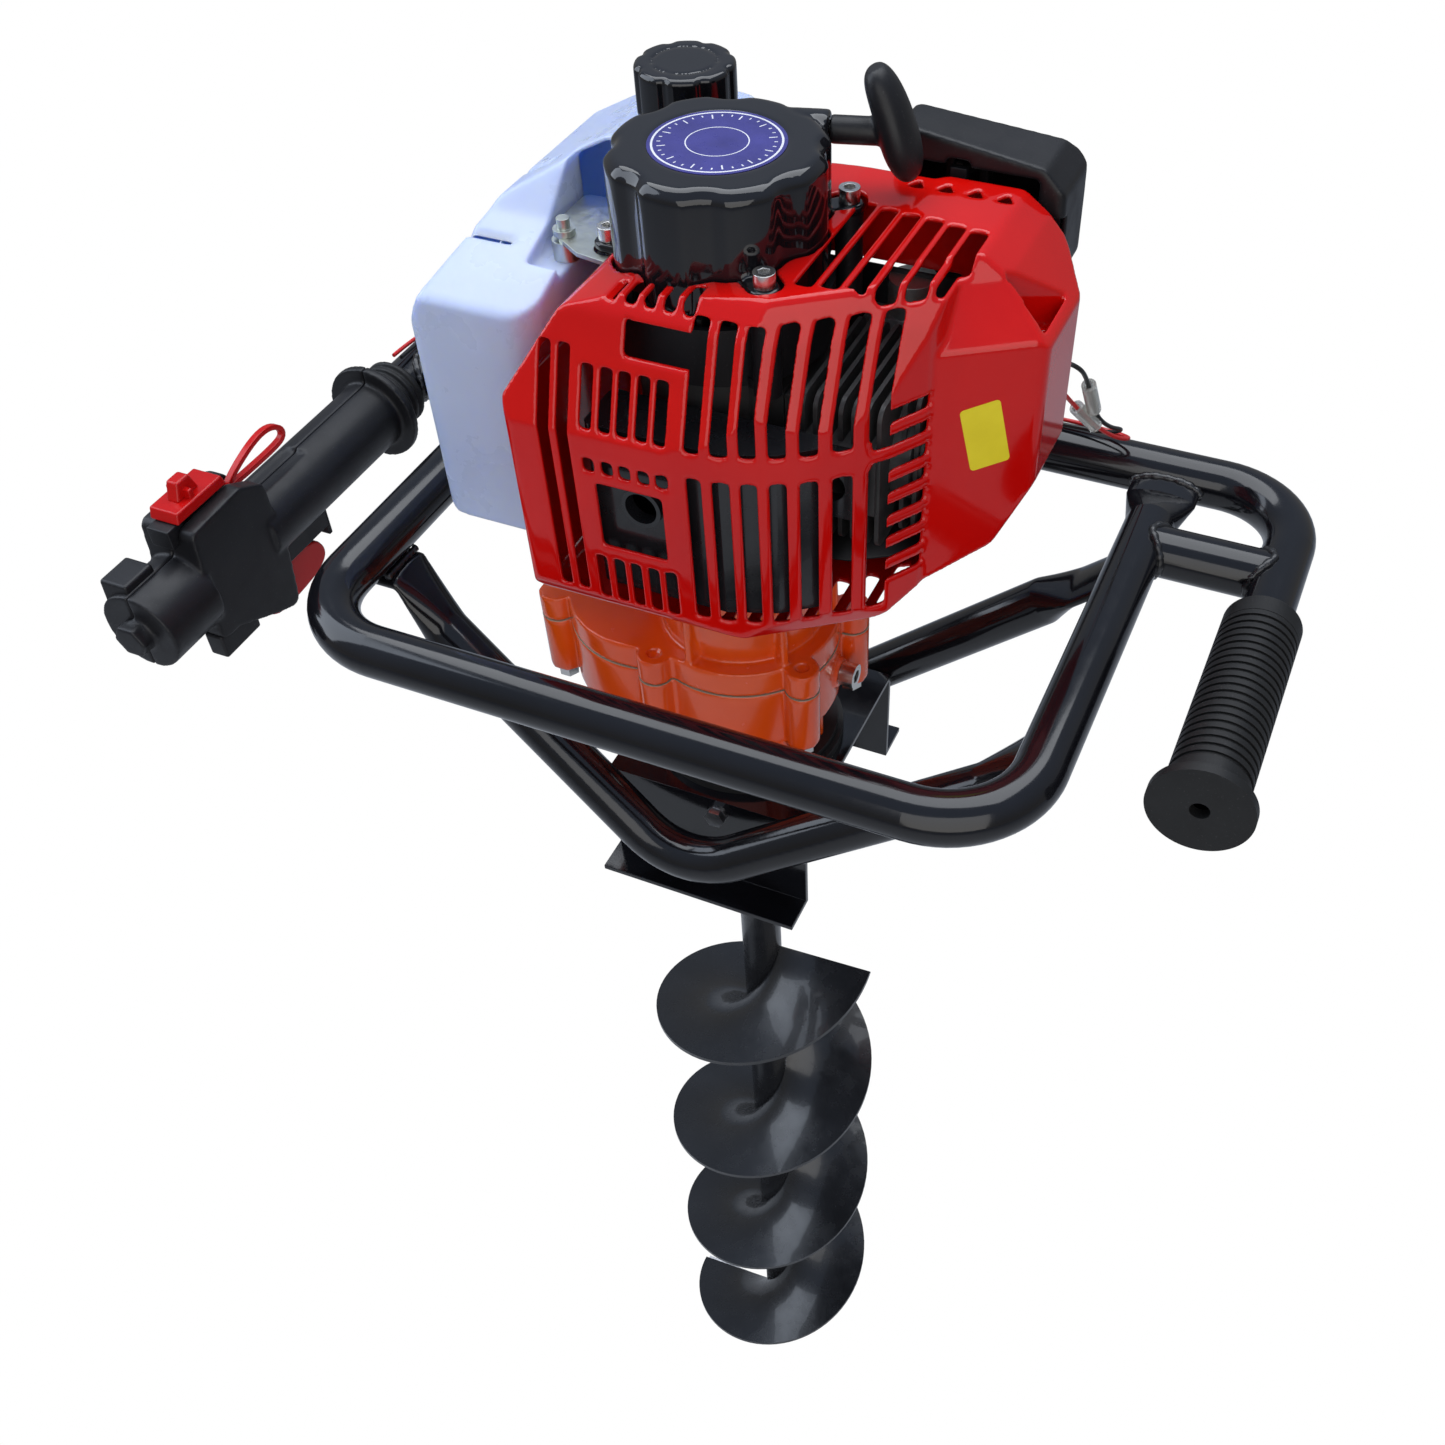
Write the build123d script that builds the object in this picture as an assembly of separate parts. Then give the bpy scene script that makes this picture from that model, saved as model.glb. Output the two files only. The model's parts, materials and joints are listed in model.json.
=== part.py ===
from build123d import *
import math
import os

os.makedirs("parts", exist_ok=True)

# Ice auger with a two-stroke power head.  Millimetres, +Z up.
# Everything is drawn about the auger axis with z = 0 in the plane of the frame tubes,
# and lifted by LIFT when written, so that the drill point is at z = 0.
LIFT = 885.0

# ---------------------------------------------------------------- driving dimensions
SEAT = 0.3                  # gap left where one piece seats on another
RUN = 0.05                  # radial play of a running fit
TUBE_R = 12.7
TUBE_WALL = 2.0
RAIL_X = 180.0
FRONT_Y = -123.5
REAR_Y = 154.6
ARM_X = 249.0
STRUT_Y = 89.0
LOOP_BEND = 45.0
BAR_BEND = 42.0
RIGHT_ARM_END = -70.0
LEFT_ARM_END = -148.0

BRACE_BEND = 50.0
FRONT_SLOPE = 0.62
FRONT_APEX = (-87.0, -142.4)
FRONT_LEAN = 0.23
REAR_SLOPE = 0.87
REAR_BRACE_Y = 81.0
REAR_APEX_Z = -161.7

SHEET = 3.0
BRACKET_X = 58.0
BRACKET_TOP = -112.0
BRACKET_FRONT = -58.5
BRACKET_REAR = 68.0
LIP_BOTTOM = -176.0
LIP = 20.0

MODULE = 1.5
PINION_TEETH = 10
WHEEL_TEETH = 54
LAY_X = -MODULE * (PINION_TEETH + WHEEL_TEETH) / 2
CASE_TOP = -28.0
CASE_SPLIT = -43.0
CASE_BASE = -78.0
CASE_R = 50.0
CASE_WALL = 4.5
BASE_RING = (-112.0, -102.0)
STAGE_ONE = (-46.0, -36.0)
STAGE_TWO = (-70.0, -56.0)
OUT_R = 11.0

FLIGHT_R = 75.0
PITCH = 150.0
FLIGHT_TOP = -311.0
TURNS = 3.5
FLIGHT_T = 3.2
BIT_TOP = -122.0
BIT_BOTTOM = -850.0

DRUM_R = 33.0
BORE_Z = 95.0
BORE_R = 20.0
THROW = 15.0
CASE_RI = 33.0
CASE_RO = 38.0
PLUG_Y = 12.0
FAN_R = 42.0

STARTER_TOP = 211.0
ROPE_Z = 203.0
ROPE_R = 1.6
ROPE_PULL_R = 31.2
PULL_TURN = 14.6


# ---------------------------------------------------------------- helpers
def save(name, *solids):
    shape = Compound(children=[s for part in solids for s in part.solids()])
    export_step(shape.moved(Location((0, 0, LIFT))), f"parts/{name}.step")
    print(name, len(shape.solids()), [round(v, 1) for v in shape.bounding_box().size])


def box(x0, x1, y0, y1, z0, z1):
    return Pos((x0 + x1) / 2, (y0 + y1) / 2, (z0 + z1) / 2) * Box(x1 - x0, y1 - y0, z1 - z0)


def cyl(r, z0, z1, x=0.0, y=0.0):
    return Pos(x, y, (z0 + z1) / 2) * Cylinder(r, z1 - z0)


def cyl_x(r, x0, x1, y, z):
    return Pos((x0 + x1) / 2, y, z) * Rot(0, 90, 0) * Cylinder(r, x1 - x0)


def cyl_y(r, y0, y1, x, z):
    return Pos(x, (y0 + y1) / 2, z) * Rot(90, 0, 0) * Cylinder(r, y1 - y0)


def cone(r0, r1, z0, z1, x=0.0, y=0.0):
    return Pos(x, y, (z0 + z1) / 2) * Cone(r0, r1, z1 - z0)


def face_of(points, radius=0.0):
    """Polygon face, always wound anticlockwise."""
    area = sum(a[0] * b[1] - b[0] * a[1] for a, b in zip(points, points[1:] + points[:1]))
    if area < 0:
        points = points[::-1]
    face = make_face(Polyline(*points, close=True))
    return fillet(face.vertices(), radius) if radius else face


def inset(face, amount):
    return offset(face, -amount) if amount else face


def prism_z(face, z0, z1):
    return extrude(Pos(0, 0, z0) * face, z1 - z0, dir=(0, 0, 1))


def prism_y(face, y0, y1):
    return extrude(Plane.XZ.offset(-y0) * face, y1 - y0, dir=(0, 1, 0))


def prism_x(face, x0, x1):
    return extrude(Plane.YZ.offset(x0) * face, x1 - x0, dir=(1, 0, 0))


def pipe(route, bend, ro, ri=0.0):
    path = FilletPolyline(*route, radius=bend)
    section = Plane(origin=path @ 0, z_dir=path % 0) * Circle(ro)
    if ri:
        section -= Plane(origin=path @ 0, z_dir=path % 0) * Circle(ri)
    return sweep(section, path=path)


def gear(teeth, z0, z1, x, first_tooth_deg):
    """Stub involute gear; the flanks are thinned so the pair always runs free."""
    pitch_r = MODULE * teeth / 2
    base_r = pitch_r * math.cos(math.radians(20))
    tip_r = pitch_r + 0.6 * MODULE
    root_r = pitch_r - 1.0 * MODULE
    half = math.pi / (2 * teeth) * 0.82
    inv_pitch = math.tan(math.radians(20)) - math.radians(20)
    points = []
    for k in range(teeth):
        mid = math.radians(first_tooth_deg) + 2 * math.pi * k / teeth
        flank = []
        for step in range(5):
            r = max(base_r, root_r + 0.1) + (tip_r - max(base_r, root_r + 0.1)) * step / 4
            roll = math.acos(min(1.0, base_r / r))
            flank.append((r, half + inv_pitch - (math.tan(roll) - roll)))
        flank.insert(0, (root_r, flank[0][1] + 0.1 / root_r))
        side = [(r, mid - a) for r, a in flank] + [(r, mid + a) for r, a in reversed(flank)]
        points += [(r * math.cos(a), r * math.sin(a)) for r, a in side]
    return prism_z(Pos(x, 0) * face_of(points), z0, z1)


def largest(shape):
    return shape.solids().sort_by(SortBy.VOLUME)[-1]


def hex_bolt(r, length, across, head, washer=0.0):
    """Along -Z from the underside of the head at z = 0, head above."""
    bolt = cyl(r, -length, 0.5) + prism_z(RegularPolygon(across / math.sqrt(3), 6), washer, washer + head)
    return bolt + cyl(across * 0.55, 0, washer) if washer else bolt


def socket_bolt(r, length, head_r, head_h):
    socket = prism_z(RegularPolygon(head_r * 0.58, 6), head_h * 0.45, head_h + 1)
    return cyl(r, -length, 0.5) + cyl(head_r, 0, head_h) - socket


# ---------------------------------------------------------------- frame
def flattened(start, toward, pad_centre, pad_normal, pad_x, width, thick, length):
    """Tube end squashed from a circle at start to a slot at pad_centre."""
    a = Plane(origin=start, x_dir=pad_x, z_dir=toward) * Circle(TUBE_R)
    pad = Plane(origin=pad_centre, x_dir=pad_x, z_dir=pad_normal)
    b = pad * Ellipse(width / 2, thick / 2)
    return loft([a, b]) + extrude(b, length)


def front_loop():
    back = 108.0
    route = [(-RAIL_X, back, 0), (-RAIL_X, FRONT_Y, 0), (RAIL_X, FRONT_Y, 0), (RAIL_X, back, 0)]
    loop = pipe(route, LOOP_BEND, TUBE_R)
    for side in (-1, 1):
        x = side * RAIL_X
        loop += flattened((x, back, 0), (0, 1, 0), (x, 130, 0), (0, 1, 0), (1, 0, 0), 36, 11, 22)
    loop -= pipe(route, LOOP_BEND, TUBE_R - TUBE_WALL)
    return loop - cyl_x(TUBE_R + SEAT, -200, 200, REAR_Y, 0) - cyl_x(TUBE_R + 40, -200, 200, REAR_Y + 41, 0)


def handlebar():
    route = [(-ARM_X, LEFT_ARM_END, 0), (-ARM_X, REAR_Y, 0), (ARM_X, REAR_Y, 0), (ARM_X, RIGHT_ARM_END, 0)]
    return pipe(route, BAR_BEND, TUBE_R, TUBE_R - TUBE_WALL)


def struts():
    parts = []
    for side in (-1, 1):
        x0, x1 = sorted((side * RAIL_X, side * ARM_X))
        strut = cyl_x(TUBE_R, x0, x1, STRUT_Y, 0) - cyl_x(TUBE_R - TUBE_WALL, x0, x1, STRUT_Y, 0)
        for x in (x0, x1):
            strut -= cyl_y(TUBE_R + SEAT, STRUT_Y - 40, STRUT_Y + 40, x, 0)
        parts.append(strut)
    return [largest(p) for p in parts]


def front_brace():
    y0, z0 = FRONT_APEX
    reach = 150.0

    def at(x):
        return (x, y0 + FRONT_LEAN * abs(x), z0 + FRONT_SLOPE * abs(x))

    route = [at(-reach), at(0), at(reach)]
    brace = pipe(route, BRACE_BEND, TUBE_R)
    for side in (-1, 1):
        end = at(side * reach)
        pad = (side * 169.0, y0 + FRONT_LEAN * 169.0, -TUBE_R - 5.6)
        out = (side, 0, 0)
        brace += flattened(end, (side, FRONT_LEAN, FRONT_SLOPE), pad, out, (0, 1, 0), 30, 10, 14)
    brace -= pipe(route, BRACE_BEND, TUBE_R - TUBE_WALL)
    for side in (-1, 1):
        brace -= cyl_y(TUBE_R + SEAT, -100, 30, side * RAIL_X, 0)
    return largest(brace)


def rear_brace():
    reach = 138.0

    def at(x):
        return (x, REAR_BRACE_Y, REAR_APEX_Z + REAR_SLOPE * abs(x))

    route = [at(-reach), at(0), at(reach)]
    brace = pipe(route, BRACE_BEND, TUBE_R)
    for side in (-1, 1):
        pad = at(side * 154.0)
        out = (side, 0, REAR_SLOPE)
        brace += flattened(at(side * reach), out, pad, out, (0, 1, 0), 34, 10, 26)
    brace -= pipe(route, BRACE_BEND, TUBE_R - TUBE_WALL)
    for side in (-1, 1):
        brace -= cyl_y(TUBE_R + SEAT, 40, 120, side * RAIL_X, 0)
    return brace


def foot_bracket():
    f, r, t = BRACKET_FRONT, BRACKET_REAR, SHEET
    outline = [
        (f - LIP, LIP_BOTTOM), (f - LIP, LIP_BOTTOM + t), (f, LIP_BOTTOM + t), (f, BRACKET_TOP),
        (r, BRACKET_TOP), (r, LIP_BOTTOM + t), (r + LIP, LIP_BOTTOM + t), (r + LIP, LIP_BOTTOM),
        (r - t, LIP_BOTTOM), (r - t, BRACKET_TOP - t), (f + t, BRACKET_TOP - t), (f + t, LIP_BOTTOM),
    ]
    body = prism_x(face_of(outline), -BRACKET_X, BRACKET_X)
    body -= cyl(26, BRACKET_TOP - 5, BRACKET_TOP + 1)
    for x, y in ring_bolts():
        body -= cyl(4.3, BRACKET_TOP - 5, BRACKET_TOP + 1, x, y)
    for y in (f, r):
        body -= cyl_y(3.3, y - 5, y + 5, BOLT_X, BOLT_Z)
    return body


def ring_bolts():
    return [(44 * math.cos(math.radians(a)), 44 * math.sin(math.radians(a))) for a in (45, 135, 225, 315)]


def brace_bolts():
    """One through each flange, for the plate inside the bracket."""
    front = Pos(BOLT_X, BRACKET_FRONT, BOLT_Z) * Rot(90, 0, 0) * hex_bolt(3, 16, 10, 4, 1.2)
    front_nut = Pos(BOLT_X, BRACKET_FRONT + SHEET, BOLT_Z) * Rot(-90, 0, 0) * nut(10, 5, 3)
    rear = Pos(BOLT_X, BRACKET_REAR, BOLT_Z) * Rot(-90, 0, 0) * hex_bolt(3, 16, 10, 4, 1.2)
    rear_nut = Pos(BOLT_X, BRACKET_REAR - SHEET, BOLT_Z) * Rot(90, 0, 0) * nut(10, 5, 3)
    return [front, front_nut, rear, rear_nut]


BOLT_X = 7.0
BOLT_Z = -122.0


def nut(across, height, r):
    return prism_z(RegularPolygon(across / math.sqrt(3), 6), 0, height) - cyl(r, -1, height + 1)


def right_grip():
    grip = cyl_y(17.6, -68, 51, ARM_X, 0) + cyl_y(18.75, 41, 51, ARM_X, 0) + cyl_y(18.75, -68, -60, ARM_X, 0)
    grip += cyl_y(24, -76, -71, ARM_X, 0) + cyl_y(20, -71, -68, ARM_X, 0)
    for k in range(20):
        y = -57.5 + k * 5.0
        grip += cyl_y(18.75, y, y + 3.2, ARM_X, 0)
    grip -= cyl_y(TUBE_R + SEAT, RIGHT_ARM_END - SEAT, 60, ARM_X, 0)
    return grip - cyl_y(4.5, -80, -60, ARM_X, 0)


# ---------------------------------------------------------------- gearbox
EARS = [(-28, -47), (45, -29), (50, 26), (-98, -22), (-98, 22), (-28, 47)]


def lobes(grow=0.0):
    stadium = Circle(CASE_R + grow) + Pos(LAY_X, 0) * Circle(CASE_R - 2 + grow)
    return stadium + Pos(LAY_X / 2, 0) * Rectangle(-LAY_X, 2 * (CASE_R - 3 + grow))


def ears(z0, z1):
    solid = cyl(9, z0, z1, *EARS[0])
    for x, y in EARS[1:]:
        solid += cyl(9, z0, z1, x, y)
    return solid


def cavity(z0, z1):
    room = prism_z(lobes(-CASE_WALL), z0, z1)
    for x, y in EARS:
        room -= cyl(9, z0 - 1, z1 + 1, x, y)
    return room


def lower_case():
    body = prism_z(lobes(), CASE_BASE, CASE_SPLIT) + ears(CASE_BASE, CASE_SPLIT)
    body -= cavity(CASE_BASE + 4, CASE_SPLIT + 1)
    body += cone(40, 44, BASE_RING[1], CASE_BASE)
    body += cyl(12, CASE_BASE, CASE_BASE + 5, LAY_X, 0)
    body -= cyl(20 + SEAT, BASE_RING[1] - 1, CASE_BASE + 5)
    body += cyl(24, -90, CASE_BASE + 1) - cyl(20 + SEAT, -91, CASE_BASE + 2)
    body -= cyl(8 + SEAT / 2, CASE_BASE + 2, CASE_BASE + 8, LAY_X, 0)
    for angle in range(0, 360, 45):
        web = box(30, 44, -1.5, 1.5, BASE_RING[1], CASE_BASE)
        body += Rot(0, 0, angle) * web
    for x, y in EARS:
        body -= cyl(3.3, CASE_BASE - 1, CASE_SPLIT + 1, x, y)
    for x, y in ring_bolts():
        body += cyl(6.5, BASE_RING[1], CASE_BASE, x, y)
        body -= cyl(4.3, BASE_RING[1] - 1, BASE_RING[1] + 16, x, y)
    return body + cyl_x(8, 46, 52, 7, -60) - cyl_x(4.2, 40, 60, 7, -60)


def upper_case():
    body = prism_z(lobes(), CASE_SPLIT + 0.4, CASE_TOP) + ears(CASE_SPLIT + 0.4, CASE_TOP)
    body -= cavity(CASE_SPLIT, CASE_TOP - 5)
    body += cone(41, 47, CASE_TOP, 22)
    body -= cone(36, 42, CASE_TOP + 6, 23)
    body += cyl(18, CASE_TOP - 5, CASE_TOP + 9)
    body += cyl(12, CASE_TOP - 5, CASE_TOP + 4, LAY_X, 0)
    for angle in (-100, -40, 20, 80, 140, 200):
        gusset = prism_y(face_of([(38, CASE_TOP - 1), (49, CASE_TOP - 1), (47.5, 20), (38, 20)]), -2, 2)
        body += Rot(0, 0, angle) * gusset
    for x, y in bell_bolts():
        body += cyl(6, 6, 22, x, y)
    body -= cyl(DRUM_R + 1.5, CASE_TOP + 10, 23)
    body -= cyl(13 + SEAT / 2, CASE_TOP - 3, CASE_TOP + 10)
    body -= cyl(9, CASE_TOP - 8, CASE_TOP + 10)
    body -= cyl(8 + SEAT / 2, CASE_TOP - 6, CASE_TOP + 1, LAY_X, 0)
    for x, y in EARS:
        body -= cyl(2.6, CASE_SPLIT - 1, CASE_TOP - 3, x, y)
    for x, y in EARS[:2]:
        body -= cyl(3.6, CASE_TOP - 2, CASE_TOP + 1, x, y)
    for x, y in bell_bolts():
        body -= cyl(2.6, 6, 23, x, y)
    return body


def bell_bolts():
    return [(42 * math.cos(math.radians(a)), 42 * math.sin(math.radians(a))) for a in (50, 130, 230, 310)]


def gasket():
    ring = lobes() - lobes(-CASE_WALL)
    body = prism_z(ring, CASE_SPLIT, CASE_SPLIT + 0.4) + ears(CASE_SPLIT, CASE_SPLIT + 0.4)
    for x, y in EARS:
        body -= cyl(3.3, CASE_SPLIT - 1, CASE_SPLIT + 1, x, y)
    return body


def case_bolts():
    return [Pos(x, y, CASE_BASE) * Rot(180, 0, 0) * hex_bolt(2.5, 44, 10, 5, 2.2) for x, y in EARS]


def lay_shaft():
    shaft = cyl(5, CASE_BASE + 2.5, CASE_TOP - 0.5, LAY_X, 0)
    return shaft + gear(PINION_TEETH, STAGE_TWO[0] - 1, STAGE_TWO[1] + 1, LAY_X, 0)


def spoked_wheel(z0, z1, x, first, bore):
    wheel = gear(WHEEL_TEETH, z0, z1, x, first)
    for z in (z0 - 1, z1 - 2.5):
        wheel -= cyl(34, z, z + 3.5, x) - cyl(14, z, z + 3.5, x)
    for angle in range(0, 360, 60):
        a = math.radians(angle + 30)
        wheel -= cyl(6, z0 - 1, z1 + 1, x + 24 * math.cos(a), 24 * math.sin(a))
    return wheel - cyl(bore, z0 - 1, z1 + 1, x)


def side_plug():
    return Pos(52.2, 7, -60) * Rot(0, 90, 0) * socket_bolt(4, 9, 6.5, 8)


def base_ring():
    ring = cyl(52, BASE_RING[0], BASE_RING[1] - 4) + cyl(49, BASE_RING[1] - 5, BASE_RING[1])
    ring -= cyl(20, -120, -95)
    for x, y in ring_bolts():
        ring -= cyl(4.3, -120, -95, x, y)
    return ring


def base_bolts():
    z = BRACKET_TOP - SHEET
    return [Pos(x, y, z) * Rot(180, 0, 0) * hex_bolt(4, 26, 13, 5, 1.6) for x, y in ring_bolts()]


def output_bearings():
    lower = cyl(20, -92, -82) - cyl(OUT_R + RUN, -95, -80) - (cyl(17, -90, -84) - cyl(14, -90, -84))
    seal = cyl(20, -100, -93) - cyl(OUT_R + RUN, -105, -90)
    return lower, seal


def output_shaft():
    shaft = cyl(OUT_R, -99, -46) + cyl(16, -80, -73) + cyl(TUBE_R - TUBE_WALL - 0.2, -185, -98)
    return shaft - cyl_x(4.05, -20, 20, 0, -150)


def lay_bearings():
    low = cyl(8, CASE_BASE + 2.2, CASE_BASE + 6.5, LAY_X) - cyl(5 + RUN, -80, -60, LAY_X)
    high = cyl(8, CASE_TOP - 5.8, CASE_TOP - 0.5, LAY_X) - cyl(5 + RUN, -40, -20, LAY_X)
    return low, high


def drum_bearing():
    ring = cyl(13, CASE_TOP - 2.8, CASE_TOP + 7) - cyl(7 + RUN, -40, 0)
    return ring - (cyl(11, -27, -23) - cyl(9, -27, -23))


def clutch_drum():
    cup = cyl(DRUM_R, -14, 14) - cyl(30, -10, 15)
    shaft = cyl(7, -33.5, -12) + cyl(10, -19, -12)
    pinion = gear(PINION_TEETH, *STAGE_ONE, 0, 0) + cyl(4.5, -46, -33)
    for angle in range(0, 360, 60):
        cup -= Rot(0, 0, angle) * cyl(4, -15, -9, 21, 0)
    return cup + shaft + pinion


def clutch_rotor():
    hub = cyl(11, -6, 10)
    for angle in (0, 120, 240):
        hub += Rot(0, 0, angle) * box(8, 20, -4, 4, -6, 10)
    return hub - cyl(8 + RUN, -10, 20)


def clutch_shoes():
    shoes = []
    for angle in (0, 120, 240):
        shoe = cyl(28.5, -6, 10) - cyl(13, -7, 11)
        wedge = face_of([(0, 0), (60, -78), (60, 78)])
        shoe &= prism_z(wedge, -7, 11)
        shoe -= box(8, 20.4, -4.4, 4.4, -7, 11)
        shoe -= cyl(24.5, 1, 4) - cyl(22.5, 0, 5)
        shoes.append(Rot(0, 0, angle) * shoe)
    return shoes


# ---------------------------------------------------------------- auger bit
def flight():
    bottom = FLIGHT_TOP - TURNS * PITCH
    inner = TUBE_R + SEAT
    mean = (inner + FLIGHT_R) / 2
    path = Helix(pitch=PITCH, height=TURNS * PITCH, radius=mean)
    plane = Plane(origin=path @ 0, x_dir=(1, 0, 0), z_dir=path % 0)
    ribbon = sweep(plane * Rectangle(FLIGHT_R - inner, FLIGHT_T), path=path, is_frenet=True)
    return Pos(0, 0, bottom) * Rot(0, 0, 183 + 0) * ribbon


def pilot():
    top = BIT_BOTTOM - SEAT
    tip = -LIFT
    spike = cone(0.8, 11, tip, tip + 26) + cyl(11, tip + 26, top) + cyl(TUBE_R - TUBE_WALL - SEAT, top, top + 26)
    blade = prism_y(face_of([(-1, tip + 4), (1, tip + 4), (17, tip + 22), (17, top), (-17, top), (-17, tip + 22)]),
                    -2, 2)
    return spike + blade


def cutter():
    """Tooth plate bolted under the leading edge of the flight."""
    z = FLIGHT_TOP - TURNS * PITCH
    plate = box(-74, -26, -26, 2, z - 10.5, z - 5.5)
    plate -= Pos(-74, -26, z - 8) * Rot(0, 0, 30) * Box(30, 14, 12)
    bolts = cyl(3.5, z - 13, z - 2.2, -60, -3) + cyl(3.5, z - 13, z - 2.2, -38, -3)
    return plate + bolts


def auger_shaft():
    body = cyl(TUBE_R, BIT_BOTTOM, BIT_TOP) - cyl(TUBE_R - TUBE_WALL, BIT_BOTTOM - 1, BIT_TOP + 1)
    return body - cyl_x(4.05, -20, 20, 0, -150)


def coupling_pin():
    return cyl_x(4, -18, 17, 0, -150) + cyl_x(6.5, -22, -17, 0, -150) - cyl_y(1.2, -5, 5, 15, -150)


# ---------------------------------------------------------------- engine
def crankcase_lower():
    body = cyl(CASE_RO, 58, BORE_Z) - cyl(CASE_RI, 63, BORE_Z + 1)
    body += cyl(17, 28, 64) + cyl(47.5, 22, 28)
    for angle in range(30, 390, 60):
        rib = prism_y(face_of([(15, 27), (44, 27), (34, 60), (15, 60)]), -2, 2)
        body += Rot(0, 0, angle) * rib
    body += box(28, 37.5, -26, 26, 66, BORE_Z)
    body -= cyl_x(BORE_R + 0.5, 20, 40, 0, BORE_Z)
    body -= cyl(CASE_RI, 63, BORE_Z + 1)
    body -= cyl(13 + SEAT / 2, 30, 64)
    body -= cyl(9, 20, 64)
    for x, y in bell_bolts():
        body -= cyl(3.2, 20, 30, x, y)
    return body


def crankcase_upper():
    body = cyl(CASE_RO, BORE_Z, 130) - cyl(CASE_RI, BORE_Z - 1, 125)
    body += cyl(17, 112, 136) + box(28, 37.5, -26, 26, BORE_Z, 124)
    for angle in range(45, 405, 90):
        boss = cyl(5, BORE_Z, 136, 36, 0)
        body += Rot(0, 0, angle) * boss
    body -= cyl(CASE_RI, BORE_Z - 1, 125)
    body += cyl(17, 120, 136)
    body -= cyl_x(BORE_R + 0.5, 20, 40, 0, BORE_Z)
    body -= cyl(13 + SEAT / 2, 119, 132)
    return body - cyl(9, 110, 140)


def crankshaft():
    lower = cyl(8, -8, 78) + cyl(31, 71, 80) - cyl(3, 71, 90, -20, 0)
    upper = cyl(8, 110, 137) + cyl(31, 110, 119) + cyl(6, 136, 168) - cyl(3, 108, 120, -20, 0)
    return [lower, upper]


def connecting_rod():
    pin = cyl(7, 80 + SEAT, 110 - SEAT, THROW, 0)
    shank = box(THROW, 62, -4, 4, 91, 99) + cyl(12, 89, 101, THROW, 0) + cyl(8, 89, 101, 62, 0)
    return pin, shank - cyl(7 + RUN, 80, 110, THROW, 0) - cyl(5 + RUN, 80, 110, 62, 0)


def piston():
    body = cyl_x(BORE_R - 0.2, 50, 74, 0, BORE_Z) - cyl_x(BORE_R - 3, 49, 70, 0, BORE_Z)
    for x in (68.5, 71.5):
        body -= cyl_x(BORE_R + 1, x, x + 1.2, 0, BORE_Z) - cyl_x(BORE_R - 1.5, x - 1, x + 2, 0, BORE_Z)
    body += cyl(7.5, BORE_Z - 17, BORE_Z - 7, 62, 0) + cyl(7.5, BORE_Z + 7, BORE_Z + 17, 62, 0)
    body &= cyl_x(BORE_R - 0.2, 50, 74, 0, BORE_Z)
    body -= cyl(5 + RUN, BORE_Z - 30, BORE_Z + 30, 62, 0)
    return body, cyl(5, BORE_Z - 18, BORE_Z + 18, 62, 0)


def cylinder():
    body = cyl_x(24, 38, 94, 0, BORE_Z) + cyl_x(19, 90, 98, 0, BORE_Z) + box(38, 44, -26, 26, 68, 122)
    for k in range(9):
        x = 49 + k * 5.7
        fin = box(x, x + 2, -35 if x < 86 else -20, 35, 60, 130)
        body += fillet(fin.edges().filter_by(Axis.X), 6)
    body += box(46, 84, -38, -20, 80, 112) + box(46, 78, 20, 38, 82, 110)
    body -= cyl_x(BORE_R, 30, 90, 0, BORE_Z)
    body -= cyl_y(7, -40, -15, 66, BORE_Z) + cyl_y(7, 15, 40, 62, BORE_Z)
    body -= cyl_x(5 + SEAT, 85, 112, PLUG_Y, BORE_Z)
    return body


def spark_plug():
    body = cyl_x(5, 91, 99, PLUG_Y, BORE_Z) + cyl_x(4, 104, 120, PLUG_Y, BORE_Z)
    body += prism_x(Pos(PLUG_Y, BORE_Z) * RegularPolygon(9, 6), 98 + SEAT, 106)
    return body + cyl_x(2, 87, 92, PLUG_Y, BORE_Z)


def plug_boot():
    cap = cyl_x(8, 110, 126, PLUG_Y, BORE_Z) + cyl_y(7, PLUG_Y, PLUG_Y + 20, 122, BORE_Z)
    cap += Pos(122, PLUG_Y, BORE_Z) * Sphere(8)
    return cap - cyl_x(4 + SEAT, 90, 120.5, PLUG_Y, BORE_Z)


def muffler():
    plan = [(-35, -72), (28, -72), (50, -64), (66, -52), (72, -44), (-35, -44)]
    shell = prism_z(face_of(plan, 4), 36, 119) - prism_z(inset(face_of(plan, 4), 2), 38, 117)
    shell -= cyl_y(8, -75, -68, -9, 84) + cyl_y(7, -50, -40, 66, BORE_Z)
    pipe_out = cyl_y(9.5, -75, -68, -9, 84) - cyl_y(7.5, -80, -60, -9, 84)
    neck = box(50, 80, -44, -38 - SEAT, 80, 112) - cyl_y(7, -50, -30, 66, BORE_Z)
    return shell + pipe_out + neck


def fan():
    body = cyl(FAN_R, 140, 143) + cyl(14, 138, 166)
    for k in range(18):
        body += Rot(0, 0, k * 20) * box(20, FAN_R - 2, -1, 1, 142, 157)
    body += cyl(FAN_R, 143, 150) - cyl(FAN_R - 4, 142, 151)
    return body - cyl(6 + RUN, 130, 168) - cyl(8 + SEAT, 130, 138)


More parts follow.
